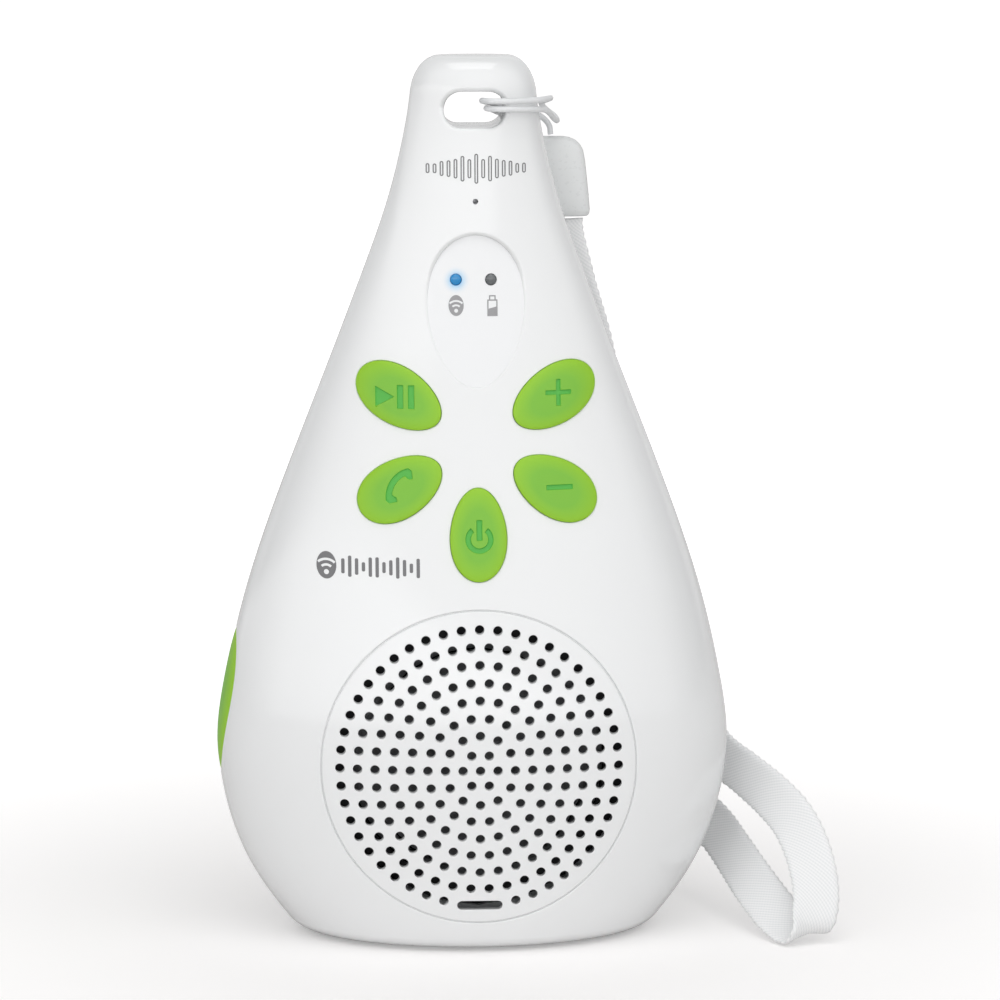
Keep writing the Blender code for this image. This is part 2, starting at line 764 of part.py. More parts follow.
def speaker_surround():
    """The rubber half roll between the frame and the cone."""
    inner, outer, rise, thick = 18.9, 21.1, 1.1, 0.45
    middle, radius = (inner + outer) / 2, (outer - inner) / 2
    turns = [math.pi * i / 6 for i in range(7)]
    front = [(middle - radius * math.cos(t), FLANGE_Y - 0.1 - rise * math.sin(t)) for t in turns]
    back = [(r, y + thick) for r, y in reversed(front)]
    return spun("speaker_surround", front + back, dark_plastic())


def speaker_cone():
    """Cone and dust cap in one: a thin dish with a dome in the middle."""
    front = [(18.6, FLANGE_Y - 0.3), (13.0, -10.9), (7.4, -8.9), (6.6, -9.8), (4.4, -11.0), (0.0, -11.6)]
    back = [(0.0, -11.1), (4.1, -10.5), (6.0, -9.4), (6.3, CONE_FOOT_Y), (7.6, CONE_FOOT_Y)]
    back += [(13.1, -10.4), (18.6, FLANGE_Y + 0.2)]
    made = spun("speaker_cone", front + back, dark_plastic())
    return pivot_at(made, (0, CONE_FOOT_Y, GRILLE_Z))


def voice_coil(cone):
    profile = [(6.5, -7.9), (7.2, -7.9), (7.2, -2.6), (6.5, -2.6)]
    copper = material("copper", (0.72, 0.35, 0.18), 0.35, 1.0)
    made = pivot_at(spun("voice_coil", profile, copper), (0, CONE_FOOT_Y, GRILLE_Z))
    made.parent = cone
    made.matrix_parent_inverse = cone.matrix_basis.inverted()


def speaker_spider():
    """The corrugated disc that centres the voice coil."""
    waves = [(7.6 + 1.0 * i, -6.8 + 0.35 * (i % 2)) for i in range(7)]
    profile = waves + [(r, y + 0.3) for r, y in reversed(waves)]
    amber = material("treated_cloth", (0.55, 0.38, 0.16), 0.8)
    return spun("speaker_spider", profile, amber)


def speaker_magnet():
    """Magnet, plates and centre pole, with the ring-shaped gap that the coil moves in."""
    profile = [(0, -4.4), (6.1, -4.4), (6.1, -0.6), (7.7, -0.6), (7.7, -4.4), (14, -4.4), (14, 4), (0, 4)]
    return spun("speaker_magnet", profile, steel())


def speaker_screws():
    back = FLANGE_Y + 1.2 + GAP
    for number, (x, z) in enumerate(driver_ears(), 1):
        head = rod(f"speaker_screw_{number}", x, z, 1.9, back, back + 1.1, 12, steel())
        join(head, rod("shank", x, z, 0.75, -16.0, back + 0.4, 8))


# ---------------------------------------------------------------- electronics
def button_board():
    """A leaning board, wide behind the buttons and narrow behind the badge."""
    right = [(16.5, 62), (16.5, 96.5), (8.8, 99.5), (8.8, 118)]
    outline = right + [(-x, z) for x, z in reversed(right)]
    rings = [[(x, board_y(z) + deep, z) for x, z in outline] for deep in (0.0, BOARD_THICK)]
    return loft("button_board", rings, circuit_board())


def lamps():
    for name, x in zip(("link_lamp", "charge_lamp"), LENS_X):
        y = board_y(LENS_Z) - GAP
        box(name, (x - 0.8, y - 0.6, LENS_Z - 0.5), (x + 0.8, y, LENS_Z + 0.5), white_plastic())


def main_board():
    made = box("main_board", (-17, 1.2, 54), (17, 2.4, 98.5), circuit_board())
    box("radio_module", (-13, -0.7, 78), (-1, 0.9, 92), steel())
    box("amplifier_chip", (4, -0.3, 66), (11, 0.9, 73), dark_plastic())
    return made


def battery():
    low, high = Vector((-14.0, 4.6, 52.0)), Vector((14.0, 9.6, 84.0))
    gap, side = Vector((GAP, GAP, GAP)), Vector((1.3, 1.5, 1.3))
    foil = material("battery_foil", (0.55, 0.56, 0.58), 0.35, 0.6)
    box("battery_cell", low, high, foil)
    tray = box("battery_tray", low - side, (high.x + side.x, high.y - 1.0, high.z + side.z), dark_plastic())
    cut(tray, box("inside", low - gap, (high.x + GAP, 20, high.z + GAP)))


def microphone():
    """The capsule in its rubber boot, behind the pinhole."""
    front = skin_y(0, MIC_Z, -1, WALL) + 0.4
    boot = rod("mic_boot", 0, MIC_Z, 3.0, front + 0.2, front + 4.0, 16, soft_rubber())
    cut(boot, rod("seat", 0, MIC_Z, 2.0 + GAP, front + 0.9, front + 9, 16))
    cut(boot, rod("ear", 0, MIC_Z, 0.6, front - 5, front + 5, 8))
    rod("microphone", 0, MIC_Z, 2.0, front + 1.2, front + 3.4, 16, steel())


def leads():
    """The twin leads of the driver and the battery, and the flat cable between the boards."""
    red = material("twin_lead", (0.35, 0.03, 0.03), 0.4)
    grey = material("flat_cable", (0.7, 0.7, 0.68), 0.5)
    routes = {
        "speaker_lead": ([(0, -6.4, 50.5), (0.5, -5.0, 53), (3, -2.6, 56), (5, 0.2, 58.5)], 2.2, 1.0, red),
        "battery_lead": ([(0, 8.6, 85.8), (0.5, 7.8, 88.5), (2, 6.0, 91), (4, 3.6, 93)], 2.2, 1.0, red),
        "board_ribbon": ([(0, -7.6, 65.5), (0, -5.6, 63), (0, -2.2, 62.6), (0, 0.6, 64.6)], 6.0, 0.3, grey),
    }
    for name, (route, width, thick, finish) in routes.items():
        line = through(route, 4)
        ribbon(name, line, [Vector((1, 0, 0))] * len(line), width, thick, finish)


# ---------------------------------------------------------------- port
def port_parts():
    """Socket tray, its board, the two sockets, and the rubber door."""
    outer = port_opening(-0.1)
    rings = [on_flank(outer, 3.3), [(-34.6, y, z) for y, z in outer]]
    tray = loft("port_tray", rings, dark_plastic())
    cut(tray, box("slot", (-50, -0.7 - GAP, 40.6 - GAP), (-20, 2.1 + GAP, 48.2 + GAP)))
    socket_z, socket_y = 34.0, 0.9
    hole = circle(2.6 + GAP, 14, socket_y, socket_z)
    cut(tray, loft("round", [[(x, y, z) for y, z in hole] for x in (-50, -20)]))
    box("port_board", (-34.0, -5.5, 29.5), (-32.8, 6.5, 50.5), circuit_board())
    usb = box("charge_socket", (-37.6, -0.7, 40.6), (-34.3, 2.1, 48.2), steel())
    cut(usb, box("mouth", (-45, -0.35, 40.95), (-35.0, 1.75, 47.85)))
    barrel = circle(2.6, 14, socket_y, socket_z)
    jack = loft("aux_socket", [[(x, y, z) for y, z in barrel] for x in (-38.4, -34.3)], dark_plastic())
    bore = circle(1.8, 12, socket_y, socket_z)
    cut(jack, loft("bore", [[(x, y, z) for y, z in bore] for x in (-45, -35.0)]))
    port_door()


def port_door():
    """A green rubber flap, level with the flank, with a plug that seals the opening."""
    outline = port_opening(0.0)
    middle = [(PORT_Y, PORT_Z)]
    rings = [on_flank(middle, -0.2)]
    for share, sunk in ((0.5, -0.1), (0.9, 0.0), (1.0, 0.25)):
        rings.append(on_flank(scaled(outline, share), sunk))
    rings.append(on_flank(outline, 1.5))
    plug = scaled(outline, 0.72)
    rings.append(on_flank(plug, 1.5))
    rings.append(on_flank(plug, 2.7))
    rings.append(on_flank(middle, 2.7))
    made = loft("port_door", rings, green_rubber())
    return pivot_at(smooth(made, 40), (*DOOR_HINGE, PORT_Z))


# ---------------------------------------------------------------- wrist strap
CORD_ROUTE = (
    (11.6, 9.8, 133.9),
    (11.2, 9.6, 135.2),
    (10.0, 9.3, 136.3),
    (8.2, 9.0, 137.0),
    (6.1, 8.6, 137.5),
    (4.5, 7.3, 137.9),
    (3.8, 4.4, 138.4),
    (2.9, 0.6, 138.9),
    (2.0, -4.0, 139.4),
    (2.5, -6.9, 139.5),
    (4.6, -7.7, 139.5),
    (7.4, -6.9, 139.4),
    (9.8, -5.2, 139.3),
    (11.7, -2.7, 139.0),
    (12.8, 0.6, 138.2),
    (13.7, 5.0, 137.1),
    (14.6, 9.0, 136.3),
    (14.4, 11.6, 136.8),
    (12.8, 12.2, 138.1),
    (12.0, 10.0, 139.3),
    (12.6, 6.0, 140.0),
    (13.0, 1.8, 140.6),
    (12.4, -1.8, 140.8),
    (10.6, -4.8, 140.8),
    (8.0, -6.6, 140.8),
    (5.2, -7.7, 140.8),
    (2.6, -7.5, 140.8),
    (1.3, -4.8, 140.7),
    (1.8, -0.8, 140.3),
    (2.9, 3.2, 139.8),
    (4.2, 6.7, 139.3),
    (6.6, 9.1, 138.9),
    (9.6, 9.8, 138.1),
    (12.0, 9.9, 136.9),
    (13.3, 9.9, 135.5),
    (13.6, 9.9, 133.9),
)

# Middle of the webbing, and the direction across it.
STRAP_ROUTE = (
    ((15.1, 9.1, 119.6), (1.0, 0.0, 0.0)),
    ((15.3, 9.1, 117.0), (1.0, 0.0, 0.05)),
    ((16.3, 9.5, 113.0), (1.0, 0.0, 0.2)),
    ((17.9, 10.6, 107.0), (1.0, -0.1, 0.24)),
    ((20.6, 13.0, 98.0), (1.0, -0.15, 0.28)),
    ((23.0, 16.2, 86.0), (1.0, -0.2, 0.3)),
    ((25.2, 19.6, 73.0), (1.0, -0.2, 0.3)),
    ((27.6, 22.4, 59.0), (1.0, -0.2, 0.35)),
    ((31.4, 22.6, 46.0), (0.8, -0.3, 0.6)),
    ((37.0, 18.8, 34.6), (0.5, -0.3, 0.85)),
    ((43.0, 12.4, 27.2), (0.25, -0.1, 0.96)),
    ((47.4, 6.0, 24.2), (0.3, 0.0, 0.95)),
    ((51.0, -0.4, 21.8), (0.45, 0.1, 0.85)),
    ((54.0, -6.4, 18.8), (0.65, 0.1, 0.65)),
    ((56.0, -11.4, 14.2), (0.8, 0.1, 0.45)),
    ((56.8, -15.2, 8.8), (0.88, 0.2, 0.25)),
    ((56.0, -17.4, 4.1), (0.9, 0.3, 0.22)),
    ((54.2, -16.4, 2.0), (0.9, 0.3, 0.24)),
    ((51.8, -13.0, 3.1), (0.78, 0.3, 0.5)),
    ((49.4, -8.2, 5.4), (0.7, 0.2, 0.62)),
    ((47.0, -2.0, 8.2), (0.64, 0.1, 0.72)),
    ((45.0, 5.0, 10.8), (0.58, 0.0, 0.78)),
    ((42.8, 12.4, 13.4), (0.55, 0.0, 0.8)),
    ((38.6, 20.0, 17.0), (0.55, -0.1, 0.78)),
    ((31.4, 26.6, 24.4), (0.7, -0.2, 0.65)),
    ((23.0, 29.6, 36.0), (0.9, -0.2, 0.4)),
    ((16.4, 28.6, 50.0), (1.0, -0.1, 0.2)),
    ((12.4, 25.4, 64.0), (1.0, 0.0, 0.1)),
    ((10.8, 21.4, 78.0), (1.0, 0.0, 0.0)),
    ((11.0, 17.2, 92.0), (1.0, 0.0, -0.05)),
    ((12.6, 13.4, 105.0), (1.0, 0.0, -0.05)),
    ((14.4, 11.1, 116.4), (1.0, 0.0, 0.0)),
    ((14.6, 10.9, 119.6), (1.0, 0.0, 0.0)),
)


# Height about the cap's middle, half width, half depth.
CAP_LEVELS = ((-6.4, 5.9, 2.6), (-5.6, 6.2, 2.9), (4.2, 5.5, 2.7), (6.2, 4.4, 2.2), (7.0, 2.8, 1.4))
CAP_MIDDLE, CAP_LEAN, CAP_SQUARE = (13.9, 10.0, 126.6), -0.03, 0.45


def strap_cap():
    """The moulded cap that joins the thin cord to the webbing; its level cuts are rounded boxes."""
    rings = []
    for height, wide, deep in CAP_LEVELS:
        ring = []
        for i in range(16):
            turn = 2 * math.pi * (i + 0.5) / 16
            across = wide * math.copysign(abs(math.cos(turn)) ** CAP_SQUARE, math.cos(turn))
            along = deep * math.copysign(abs(math.sin(turn)) ** CAP_SQUARE, math.sin(turn))
            x, y, z = CAP_MIDDLE
            ring.append((x + CAP_LEAN * height + across, y + along, z + height))
        rings.append(ring)
    return smooth(loft("strap_cap", rings, white_plastic()))


def strap():
    strap_cap()
    nylon = material("nylon_cord", (0.85, 0.86, 0.86), 0.5)
    wire("lanyard_cord", CORD_ROUTE, CORD_RADIUS, nylon, 2, 2)
    line = through([place for place, _ in STRAP_ROUTE], 2)
    across = through([wide for _, wide in STRAP_ROUTE], 2)
    ribbon("wrist_strap", line, across, STRAP_WIDTH, STRAP_THICK, webbing())


def build_all():
    for leftover in list(bpy.data.objects):
        bpy.data.objects.remove(leftover)
    front_shell()
    rear_shell()
    shell_seal()
    base_pad()
    rear_screws()
    for name in BUTTONS:
        switch(name, button(name))
    keypad_membrane()
    status_window()
    lens("link_lens", LENS_X[0], (0.05, 0.35, 0.85))
    lens("charge_lens", LENS_X[1], (0.2, 0.21, 0.22))
    lamps()
    speaker_grille()
    speaker_gasket()
    speaker_basket()
    speaker_surround()
    voice_coil(speaker_cone())
    speaker_spider()
    speaker_magnet()
    speaker_screws()
    button_board()
    main_board()
    battery()
    microphone()
    leads()
    port_parts()
    strap()


build_all()
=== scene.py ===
"""Looks of the shower speaker: fine skins, materials, lights and the camera round the CAD frame.

The front faces -Y and +Z is up.
"""

import json
import math

import bmesh
import bpy
import numpy as np
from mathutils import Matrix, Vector
from mathutils.geometry import delaunay_2d_cdt


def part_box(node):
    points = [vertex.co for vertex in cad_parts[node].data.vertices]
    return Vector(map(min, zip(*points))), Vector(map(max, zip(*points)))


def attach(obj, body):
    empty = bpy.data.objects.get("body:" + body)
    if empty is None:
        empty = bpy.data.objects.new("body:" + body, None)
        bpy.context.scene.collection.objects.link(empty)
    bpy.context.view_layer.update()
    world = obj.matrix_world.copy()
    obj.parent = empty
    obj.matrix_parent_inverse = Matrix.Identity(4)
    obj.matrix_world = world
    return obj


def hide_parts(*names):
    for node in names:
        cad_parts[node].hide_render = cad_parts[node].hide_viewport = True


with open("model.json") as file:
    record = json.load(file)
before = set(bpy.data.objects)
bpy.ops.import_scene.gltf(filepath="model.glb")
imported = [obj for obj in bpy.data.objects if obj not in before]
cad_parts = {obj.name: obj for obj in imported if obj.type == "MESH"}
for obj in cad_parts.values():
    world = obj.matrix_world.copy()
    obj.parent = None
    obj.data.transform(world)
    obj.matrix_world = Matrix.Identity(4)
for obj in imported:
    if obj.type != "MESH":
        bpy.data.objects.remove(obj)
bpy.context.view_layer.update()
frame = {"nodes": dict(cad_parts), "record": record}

MM = 0.001


def box_mm(node):
    low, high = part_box(node)
    return np.array(low) / MM, np.array(high) / MM


def middle(node):
    low, high = box_mm(node)
    return (low + high) / 2


def span(node):
    low, high = box_mm(node)
    return high - low


# ---------------------------------------------------------------- driving dimensions, mm
BODY_TOP = box_mm("front_shell")[1][2]
BODY_BOTTOM = 0.6
BASE_EDGE = 2.0
CROWN_RISE, CROWN_INSET = 6.0, 4.4
WALL = 2.0
FLOOR_TOP = 2.8
JOINT = 0.07  # half the hairline between the shells
STATIONS = (  # height, half width, front depth, rear depth
    (0.0, 29.4, 19.4, 19.4), (4.0, 32.6, 20.9, 20.9), (9.5, 36.5, 22.2, 22.3),
    (18.0, 40.5, 23.4, 23.5), (26.6, 42.6, 24.0, 24.0), (34.0, 43.05, 23.9, 24.0),
    (43.7, 41.75, 23.0, 23.2), (56.5, 38.85, 20.7, 21.2), (73.5, 33.3, 16.9, 17.6),
    (95.0, 25.0, 12.3, 12.8), (112.0, 18.5, 9.4, 9.7), (125.0, 14.0, 7.9, 8.0),
    (133.0, 12.0, 7.2, 7.2), (141.0, 10.6, 6.8, 6.8), (148.0, 10.05, 6.6, 6.6),
)
SLOT_Z, SLOT_HALF, SLOT_RADIUS = 139.3, 2.4, 2.95
FLOWER_Z, PETAL_REACH = 85.0, 14.8
PETAL_LENGTH, PETAL_WIDTH, PETAL_POINT = 15.4, 9.6, 0.10
BUTTONS = {"volume_up": 30, "volume_down": -30, "power": -90, "call": 210, "play_pause": 150}
WINDOW_Z, WINDOW_LENGTH, WINDOW_WIDTH, WINDOW_POINT = 106.5, 24.4, 15.6, 0.14
LENS_RADIUS = span("link_lens")[0] / 2
LINK_X, CHARGE_X = middle("link_lens")[0], middle("charge_lens")[0]
LENS_Z = middle("link_lens")[2]
MIC_Z, MIC_HOLE = middle("microphone")[2], 0.45
GRILLE_Z, GRILLE_RADIUS = middle("speaker_grille")[2], span("speaker_grille")[0] / 2
HOLE_RINGS, RING_PITCH, HOLE_RADIUS = 8, 2.89, 0.77
DRAIN_HALF = 3.0
PORT_Y, PORT_Z = middle("port_door")[1], middle("port_door")[2]
PORT_LENGTH, PORT_WIDTH, PORT_POINT = 25.0, 13.2, -0.10
SCREW_NODES = ["rear_screw_1", "rear_screw_2", "rear_screw_3", "rear_screw_4"]
SCREW_BORE, SCREW_SEAT, SCREW_SHANK = 2.7, 3.9, 1.3
WELL_RADIUS, WELL_FLOOR, WELL_REACH = 3.6, 1.5, 1.2
STRAP_WIDTH, STRAP_THICK, CORD_DIAMETER = 8.0, 1.2, 1.0
NECK_SOLID_Z = 128.5  # the neck is solid from here up
TURN = 25.0  # mm of a shell's flat net to each radian round the drop
PROBE = 0.02  # mm to each side of a point, to find how a surface slopes there


# ---------------------------------------------------------------- the drop's surface
def smooth_curve(knots, values):
    """The natural cubic spline through the values; it takes arrays of heights."""
    knots, values = np.array(knots, float), np.array(values, float)
    step = np.diff(knots)
    count = len(knots)
    system, right = np.eye(count), np.zeros(count)
    for i in range(1, count - 1):
        system[i, i - 1 : i + 2] = step[i - 1], 2 * (step[i - 1] + step[i]), step[i]
        right[i] = 6 * ((values[i + 1] - values[i]) / step[i] - (values[i] - values[i - 1]) / step[i - 1])
    bend = np.linalg.solve(system, right)

    def at(z):
        z = np.asarray(z, float)
        i = np.clip(np.searchsorted(knots, z) - 1, 0, count - 2)
        left, after = knots[i + 1] - z, z - knots[i]
        return (
            (bend[i] * left**3 + bend[i + 1] * after**3) / (6 * step[i])
            + (values[i] / step[i] - bend[i] * step[i] / 6) * left
            + (values[i + 1] / step[i] - bend[i + 1] * step[i] / 6) * after
        )

    return at


HEIGHTS, WIDTHS, FRONTS, REARS = zip(*STATIONS)
half_width = smooth_curve(HEIGHTS, WIDTHS)
front_depth = smooth_curve(HEIGHTS, FRONTS)
rear_depth = smooth_curve(HEIGHTS, REARS)


def depth_of(z, side):
    return front_depth(z) if side < 0 else rear_depth(z)


def skin_y(x, z, side=-1):
    """y of the flank's surface at (x, z)."""
    share = np.clip(1 - (np.asarray(x, float) / half_width(z)) ** 2, 1e-6, 1)
    return side * (JOINT + (depth_of(z, side) - JOINT) * np.sqrt(share))


def flank_x(y, z):
    """x of the left flank at (y, z)."""
    y, z = np.asarray(y, float), np.asarray(z, float)
    deep = np.where(y < 0, front_depth(z), rear_depth(z))
    return -half_width(z) * np.sqrt(np.clip(1 - (y / deep) ** 2, 0, 1))


def meridian():
    """Rows of (run, z, inset, share) from the middle of the base over the flank to the crown.

    The run is a length along the outline that equals z on the flank. The share shrinks a level
    towards the middle of the base and of the crown.
    """
    low, high = BODY_BOTTOM + BASE_EDGE, BODY_TOP - CROWN_RISE
    rows = [(low - 29.0, BODY_BOTTOM, BASE_EDGE, 0.0)]
    for degrees in range(90, 0, -3):
        turn = math.radians(degrees)
        rise, pull = BASE_EDGE * math.sin(turn), BASE_EDGE * (1 - math.cos(turn))
        rows.append((low - 3.1 * degrees / 90, low - rise, pull, 1.0))
    rows.append((low, low, 0.0, 1.0))
    for degrees in range(0, 91, 3):
        turn = math.radians(degrees)
        rise, pull = CROWN_RISE * math.sin(turn), CROWN_INSET * (1 - math.cos(turn))
        rows.append((high + 8.2 * degrees / 90, high + rise, pull, 1.0))
    rows.append((high + 14.2, BODY_TOP, CROWN_INSET, 0.0))
    return np.array(rows)


ROWS = meridian()


def shell_outer(side):
    """The outside of one shell over (u, run); u goes from the right joint to the left one."""

    def at(u, run):
        turn = u / TURN
        z, inset, share = (np.interp(run, ROWS[:, 0], ROWS[:, i]) for i in (1, 2, 3))
        across, deep = half_width(z) - inset, depth_of(z, side) - inset - JOINT
        y = side * (JOINT + share * deep * np.sin(turn))
        return np.stack([share * across * np.cos(turn), y, z], axis=-1)

    return at


def shell_inner(side):
    """The inside of one shell. The neck is filled up to the joint, round the hanging slot."""

    def at(u, run):
        turn = u / TURN
        z, inset, share = (np.interp(run, ROWS[:, 0], ROWS[:, i]) for i in (1, 2, 3))
        solid = np.clip((z - NECK_SOLID_Z) / 3, 0, 1)
        wall = WALL * (1 - solid) + 0.02
        across, deep = half_width(z) - inset - wall, (depth_of(z, side) - inset - WALL) * (1 - solid)
        y = side * (JOINT + share * np.maximum(deep, 0) * np.sin(turn))
        return np.stack([share * across * np.cos(turn), y, np.maximum(z, FLOOR_TOP)], axis=-1)

    return at


# ---------------------------------------------------------------- outlines
def circle(radius, steps, x=0.0, z=0.0):
    turns = np.arange(steps) * 2 * math.pi / steps
    return np.stack([x + radius * np.cos(turns), z + radius * np.sin(turns)], axis=-1)


def stadium(half, radius, z, steps=14):
    """Two half circles joined by straight sides, about x = 0."""
    ends = []
    for side in (1, -1):
        for i in range(steps + 1):
            turn = math.pi * (i / steps - 0.5)
            ends.append((side * (half + radius * math.cos(turn)), z + side * radius * math.sin(turn)))
    return np.array(ends)


def egg(length, width, point, steps, grow=0.0):
    """An egg with its narrow end towards +v when point is above 0."""
    turns = np.arange(steps) * 2 * math.pi / steps
    long, wide = length / 2 + grow, width / 2 + grow
    return np.stack([wide * np.sin(turns) * (1 - point * np.cos(turns)), long * np.cos(turns)], axis=-1)


def turned(outline, degrees, u, v):
    """Turns an outline's +v towards that direction and moves it to (u, v)."""
    angle = math.radians(degrees - 90)
    cos, sin = math.cos(angle), math.sin(angle)
    across, ahead = outline[:, 0], outline[:, 1]
    return np.stack([u + across * cos - ahead * sin, v + across * sin + ahead * cos], axis=-1)


def petal_middle(name):
    angle = math.radians(BUTTONS[name])
    return PETAL_REACH * math.cos(angle), FLOWER_Z + PETAL_REACH * math.sin(angle)


def petal(name, grow=0.0):
    x, z = petal_middle(name)
    return turned(egg(PETAL_LENGTH, PETAL_WIDTH, PETAL_POINT, 64, grow), BUTTONS[name] + 180, x, z)


def window_outline(grow=0.0):
    return turned(egg(WINDOW_LENGTH, WINDOW_WIDTH, WINDOW_POINT, 72, grow), -90, 0.0, WINDOW_Z)


def port_outline(grow=0.0):
    return turned(egg(PORT_LENGTH, PORT_WIDTH, PORT_POINT, 56, grow), 90, PORT_Y, PORT_Z)


def outward(outline):
    """Unit directions out of a closed outline, one at each of its points."""
    before, after = np.roll(outline, 1, axis=0), np.roll(outline, -1, axis=0)
    area = np.sum(outline[:, 0] * after[:, 1] - after[:, 0] * outline[:, 1])
    ahead = after - before
    side = np.stack([ahead[:, 1], -ahead[:, 0]], axis=-1) * (1 if area > 0 else -1)
    return side / (np.linalg.norm(side, axis=1)[:, None] + 1e-12)


def grown(outline, amount):
    return outline + outward(outline) * amount


def scaled(outline, share):
    centre = (outline.min(axis=0) + outline.max(axis=0)) / 2
    return centre + (outline - centre) * share


def inside(outline, points):
    """Which points lie inside a closed outline."""
    points = np.atleast_2d(points)
    a, b = outline, np.roll(outline, -1, axis=0)
    above_a = a[None, :, 1] > points[:, None, 1]
    above_b = b[None, :, 1] > points[:, None, 1]
    rise = np.where(b[:, 1] == a[:, 1], 1e-12, b[:, 1] - a[:, 1])
    reach = a[None, :, 0] + (points[:, None, 1] - a[None, :, 1]) * (b[:, 0] - a[:, 0]) / rise
    return ((above_a != above_b) & (points[:, None, 0] < reach)).sum(axis=1) % 2 == 1


def edge_turns(radius, steps):
    """(distance outside the opening, depth, lean) of each line round a rounded edge."""
    lines = []
    for i in range(steps + 1):
        turn = math.pi / 2 * i / steps
        lines.append((radius * (1 - math.sin(turn)), radius * (1 - math.cos(turn)), math.sin(turn)))
    return lines


# ---------------------------------------------------------------- nets and plates
class Net:
    """A flat net of triangles, with rounded openings, that is laid on a surface afterwards."""

    def __init__(self):
        self.points, self.edges, self.depth, self.lean, self.openings = [], [], [], [], []

    def line(self, outline, depth=0.0, lean=0.0, inward=True):
        """A closed line, this far below the surface, whose normals lean to its inside or outside."""
        start, count = len(self.points), len(outline)
        self.points += [tuple(p) for p in outline]
        self.depth += [depth] * count
        self.lean += [tuple(a) for a in outward(outline) * (-lean if inward else lean)]
        self.edges += [(start + i, start + (i + 1) % count) for i in range(count)]

    def opening(self, outline_at, radius, steps, place=lambda outline: outline):
        """An opening with a rounded edge; outline_at gives its outline grown by a distance."""
        for grow, depth, lean in edge_turns(radius, steps):
            self.line(place(outline_at(grow)), depth, lean)
        self.openings.append(place(outline_at(0.0)))
        return place(outline_at(radius + 0.35))

    def scatter(self, points, clear_of=(), depth=0.0):
        points = np.asarray(points, float)
        keep = np.ones(len(points), bool)
        for outline in clear_of:
            low, high = outline.min(axis=0), outline.max(axis=0)
            near = np.all((points > low) & (points < high), axis=1)
            keep[near] &= ~inside(outline, points[near])
        for point in points[keep]:
            self.points.append(tuple(point))
            self.depth.append(depth)
            self.lean.append((0.0, 0.0))

    def solve(self, limit=None):
        """Points, triangles, depths and leans; limit(centres) says which triangles stay."""
        result = delaunay_2d_cdt([Vector(p) for p in self.points], self.edges, [], 0, 1e-6)
        flat, triangles, source = np.array([tuple(p) for p in result[0]]), np.array(result[2]), result[3]
        given = np.array(self.points)
        pick = [s[0] if s else int(np.argmin(((given - p) ** 2).sum(axis=1))) for s, p in zip(source, flat)]
        centres = flat[triangles].mean(axis=1)
        keep = np.ones(len(triangles), bool) if limit is None else limit(centres)
        for outline in self.openings:
            low, high = outline.min(axis=0), outline.max(axis=0)
            near = np.all((centres > low) & (centres < high), axis=1)
            keep[near] &= ~inside(outline, centres[near])
        return flat, triangles[keep], np.array(self.depth)[pick], np.array(self.lean)[pick]


def placed(name, data):
    made = bpy.data.objects.new(name, data)
    bpy.context.scene.collection.objects.link(made)
    return made


def slopes_of(surface, u, v):
    along_u = surface(u + PROBE, v) - surface(u - PROBE, v)
    along_v = surface(u, v + PROBE) - surface(u, v - PROBE)
    normal = np.cross(along_u, along_v)
    return normal / (np.linalg.norm(normal, axis=1)[:, None] + 1e-12), along_u, along_v


def plate(name, net, outer, inner, out, limit=None, polish=True):
    """A closed plate: the net laid on outer, its back on inner, and walls round every edge.

    out is a point inside the object that the outside faces away from. Where polish is true the
    outside gets the surface's own normals, so that its reflections have no facets.
    """
    flat, triangles, depth, lean = net.solve(limit)
    u, v = flat[:, 0], flat[:, 1]
    normal, along_u, along_v = slopes_of(outer, u, v)
    front = outer(u, v)
    normal[np.sum(normal * (front - np.asarray(out)), axis=1) < 0] *= -1
    aside = along_u * (lean[:, :1] / (2 * PROBE)) + along_v * (lean[:, 1:] / (2 * PROBE))
    aside /= np.linalg.norm(aside, axis=1)[:, None] + 1e-12
    amount = np.clip(np.linalg.norm(lean, axis=1), 0, 1)[:, None]
    shaded = normal * np.sqrt(1 - amount**2) + aside * amount
    front = front - normal * depth[:, None]
    points, count = np.concatenate([front, inner(u, v)]), len(flat)
    live = set(np.unique(triangles).tolist())

    # The triangles' corners run the other way round if most of them face the inside.
    test = triangles[:4000]
    a, b, c = (front[test[:, i]] for i in range(3))
    if np.sum(np.cross(b - a, c - a) * normal[test[:, 0]]) < 0:
        triangles = triangles[:, ::-1]
    sides = dict.fromkeys((t[i], t[(i + 1) % 3]) for t in triangles for i in range(3))
    rim = [(p, q) for p, q in sides if (q, p) not in sides]
    faces = [tuple(t) for t in triangles] + [tuple(i + count for i in t[::-1]) for t in triangles]
    faces += [(q, p, p + count, q + count) for p, q in rim]

    # Points in the same place become one, and faces that this closes up are left out.
    keys, merged, index = {}, [], []
    for i, p in enumerate(points):
        if i % count not in live:
            index.append(-1)
            continue
        key = tuple(np.round(p, 5))
        if key not in keys:
            keys[key] = len(merged)
            merged.append(p)
        index.append(keys[key])
    kept, normals = [], []
    for number, face in enumerate(faces):
        corners = [index[i] for i in face]
        if len(set(corners)) == len(corners):
            kept.append(corners)
            normals += [tuple(shaded[i]) if number < len(triangles) else (0.0, 0.0, 0.0) for i in face]
    mesh = bpy.data.meshes.new(name)
    mesh.from_pydata([tuple(p * MM) for p in merged], [], kept)
    mesh.shade_smooth()
    mesh.set_sharp_from_angle(angle=math.radians(32))
    if polish:
        mesh.normals_split_custom_set(normals)
    return placed(name, mesh)


def on_skin(offset):
    """The front skin as a surface over (x, z), moved out by offset along Y."""

    def at(x, z):
        return np.stack([x, skin_y(x, z) - offset, z], axis=-1)

    return at


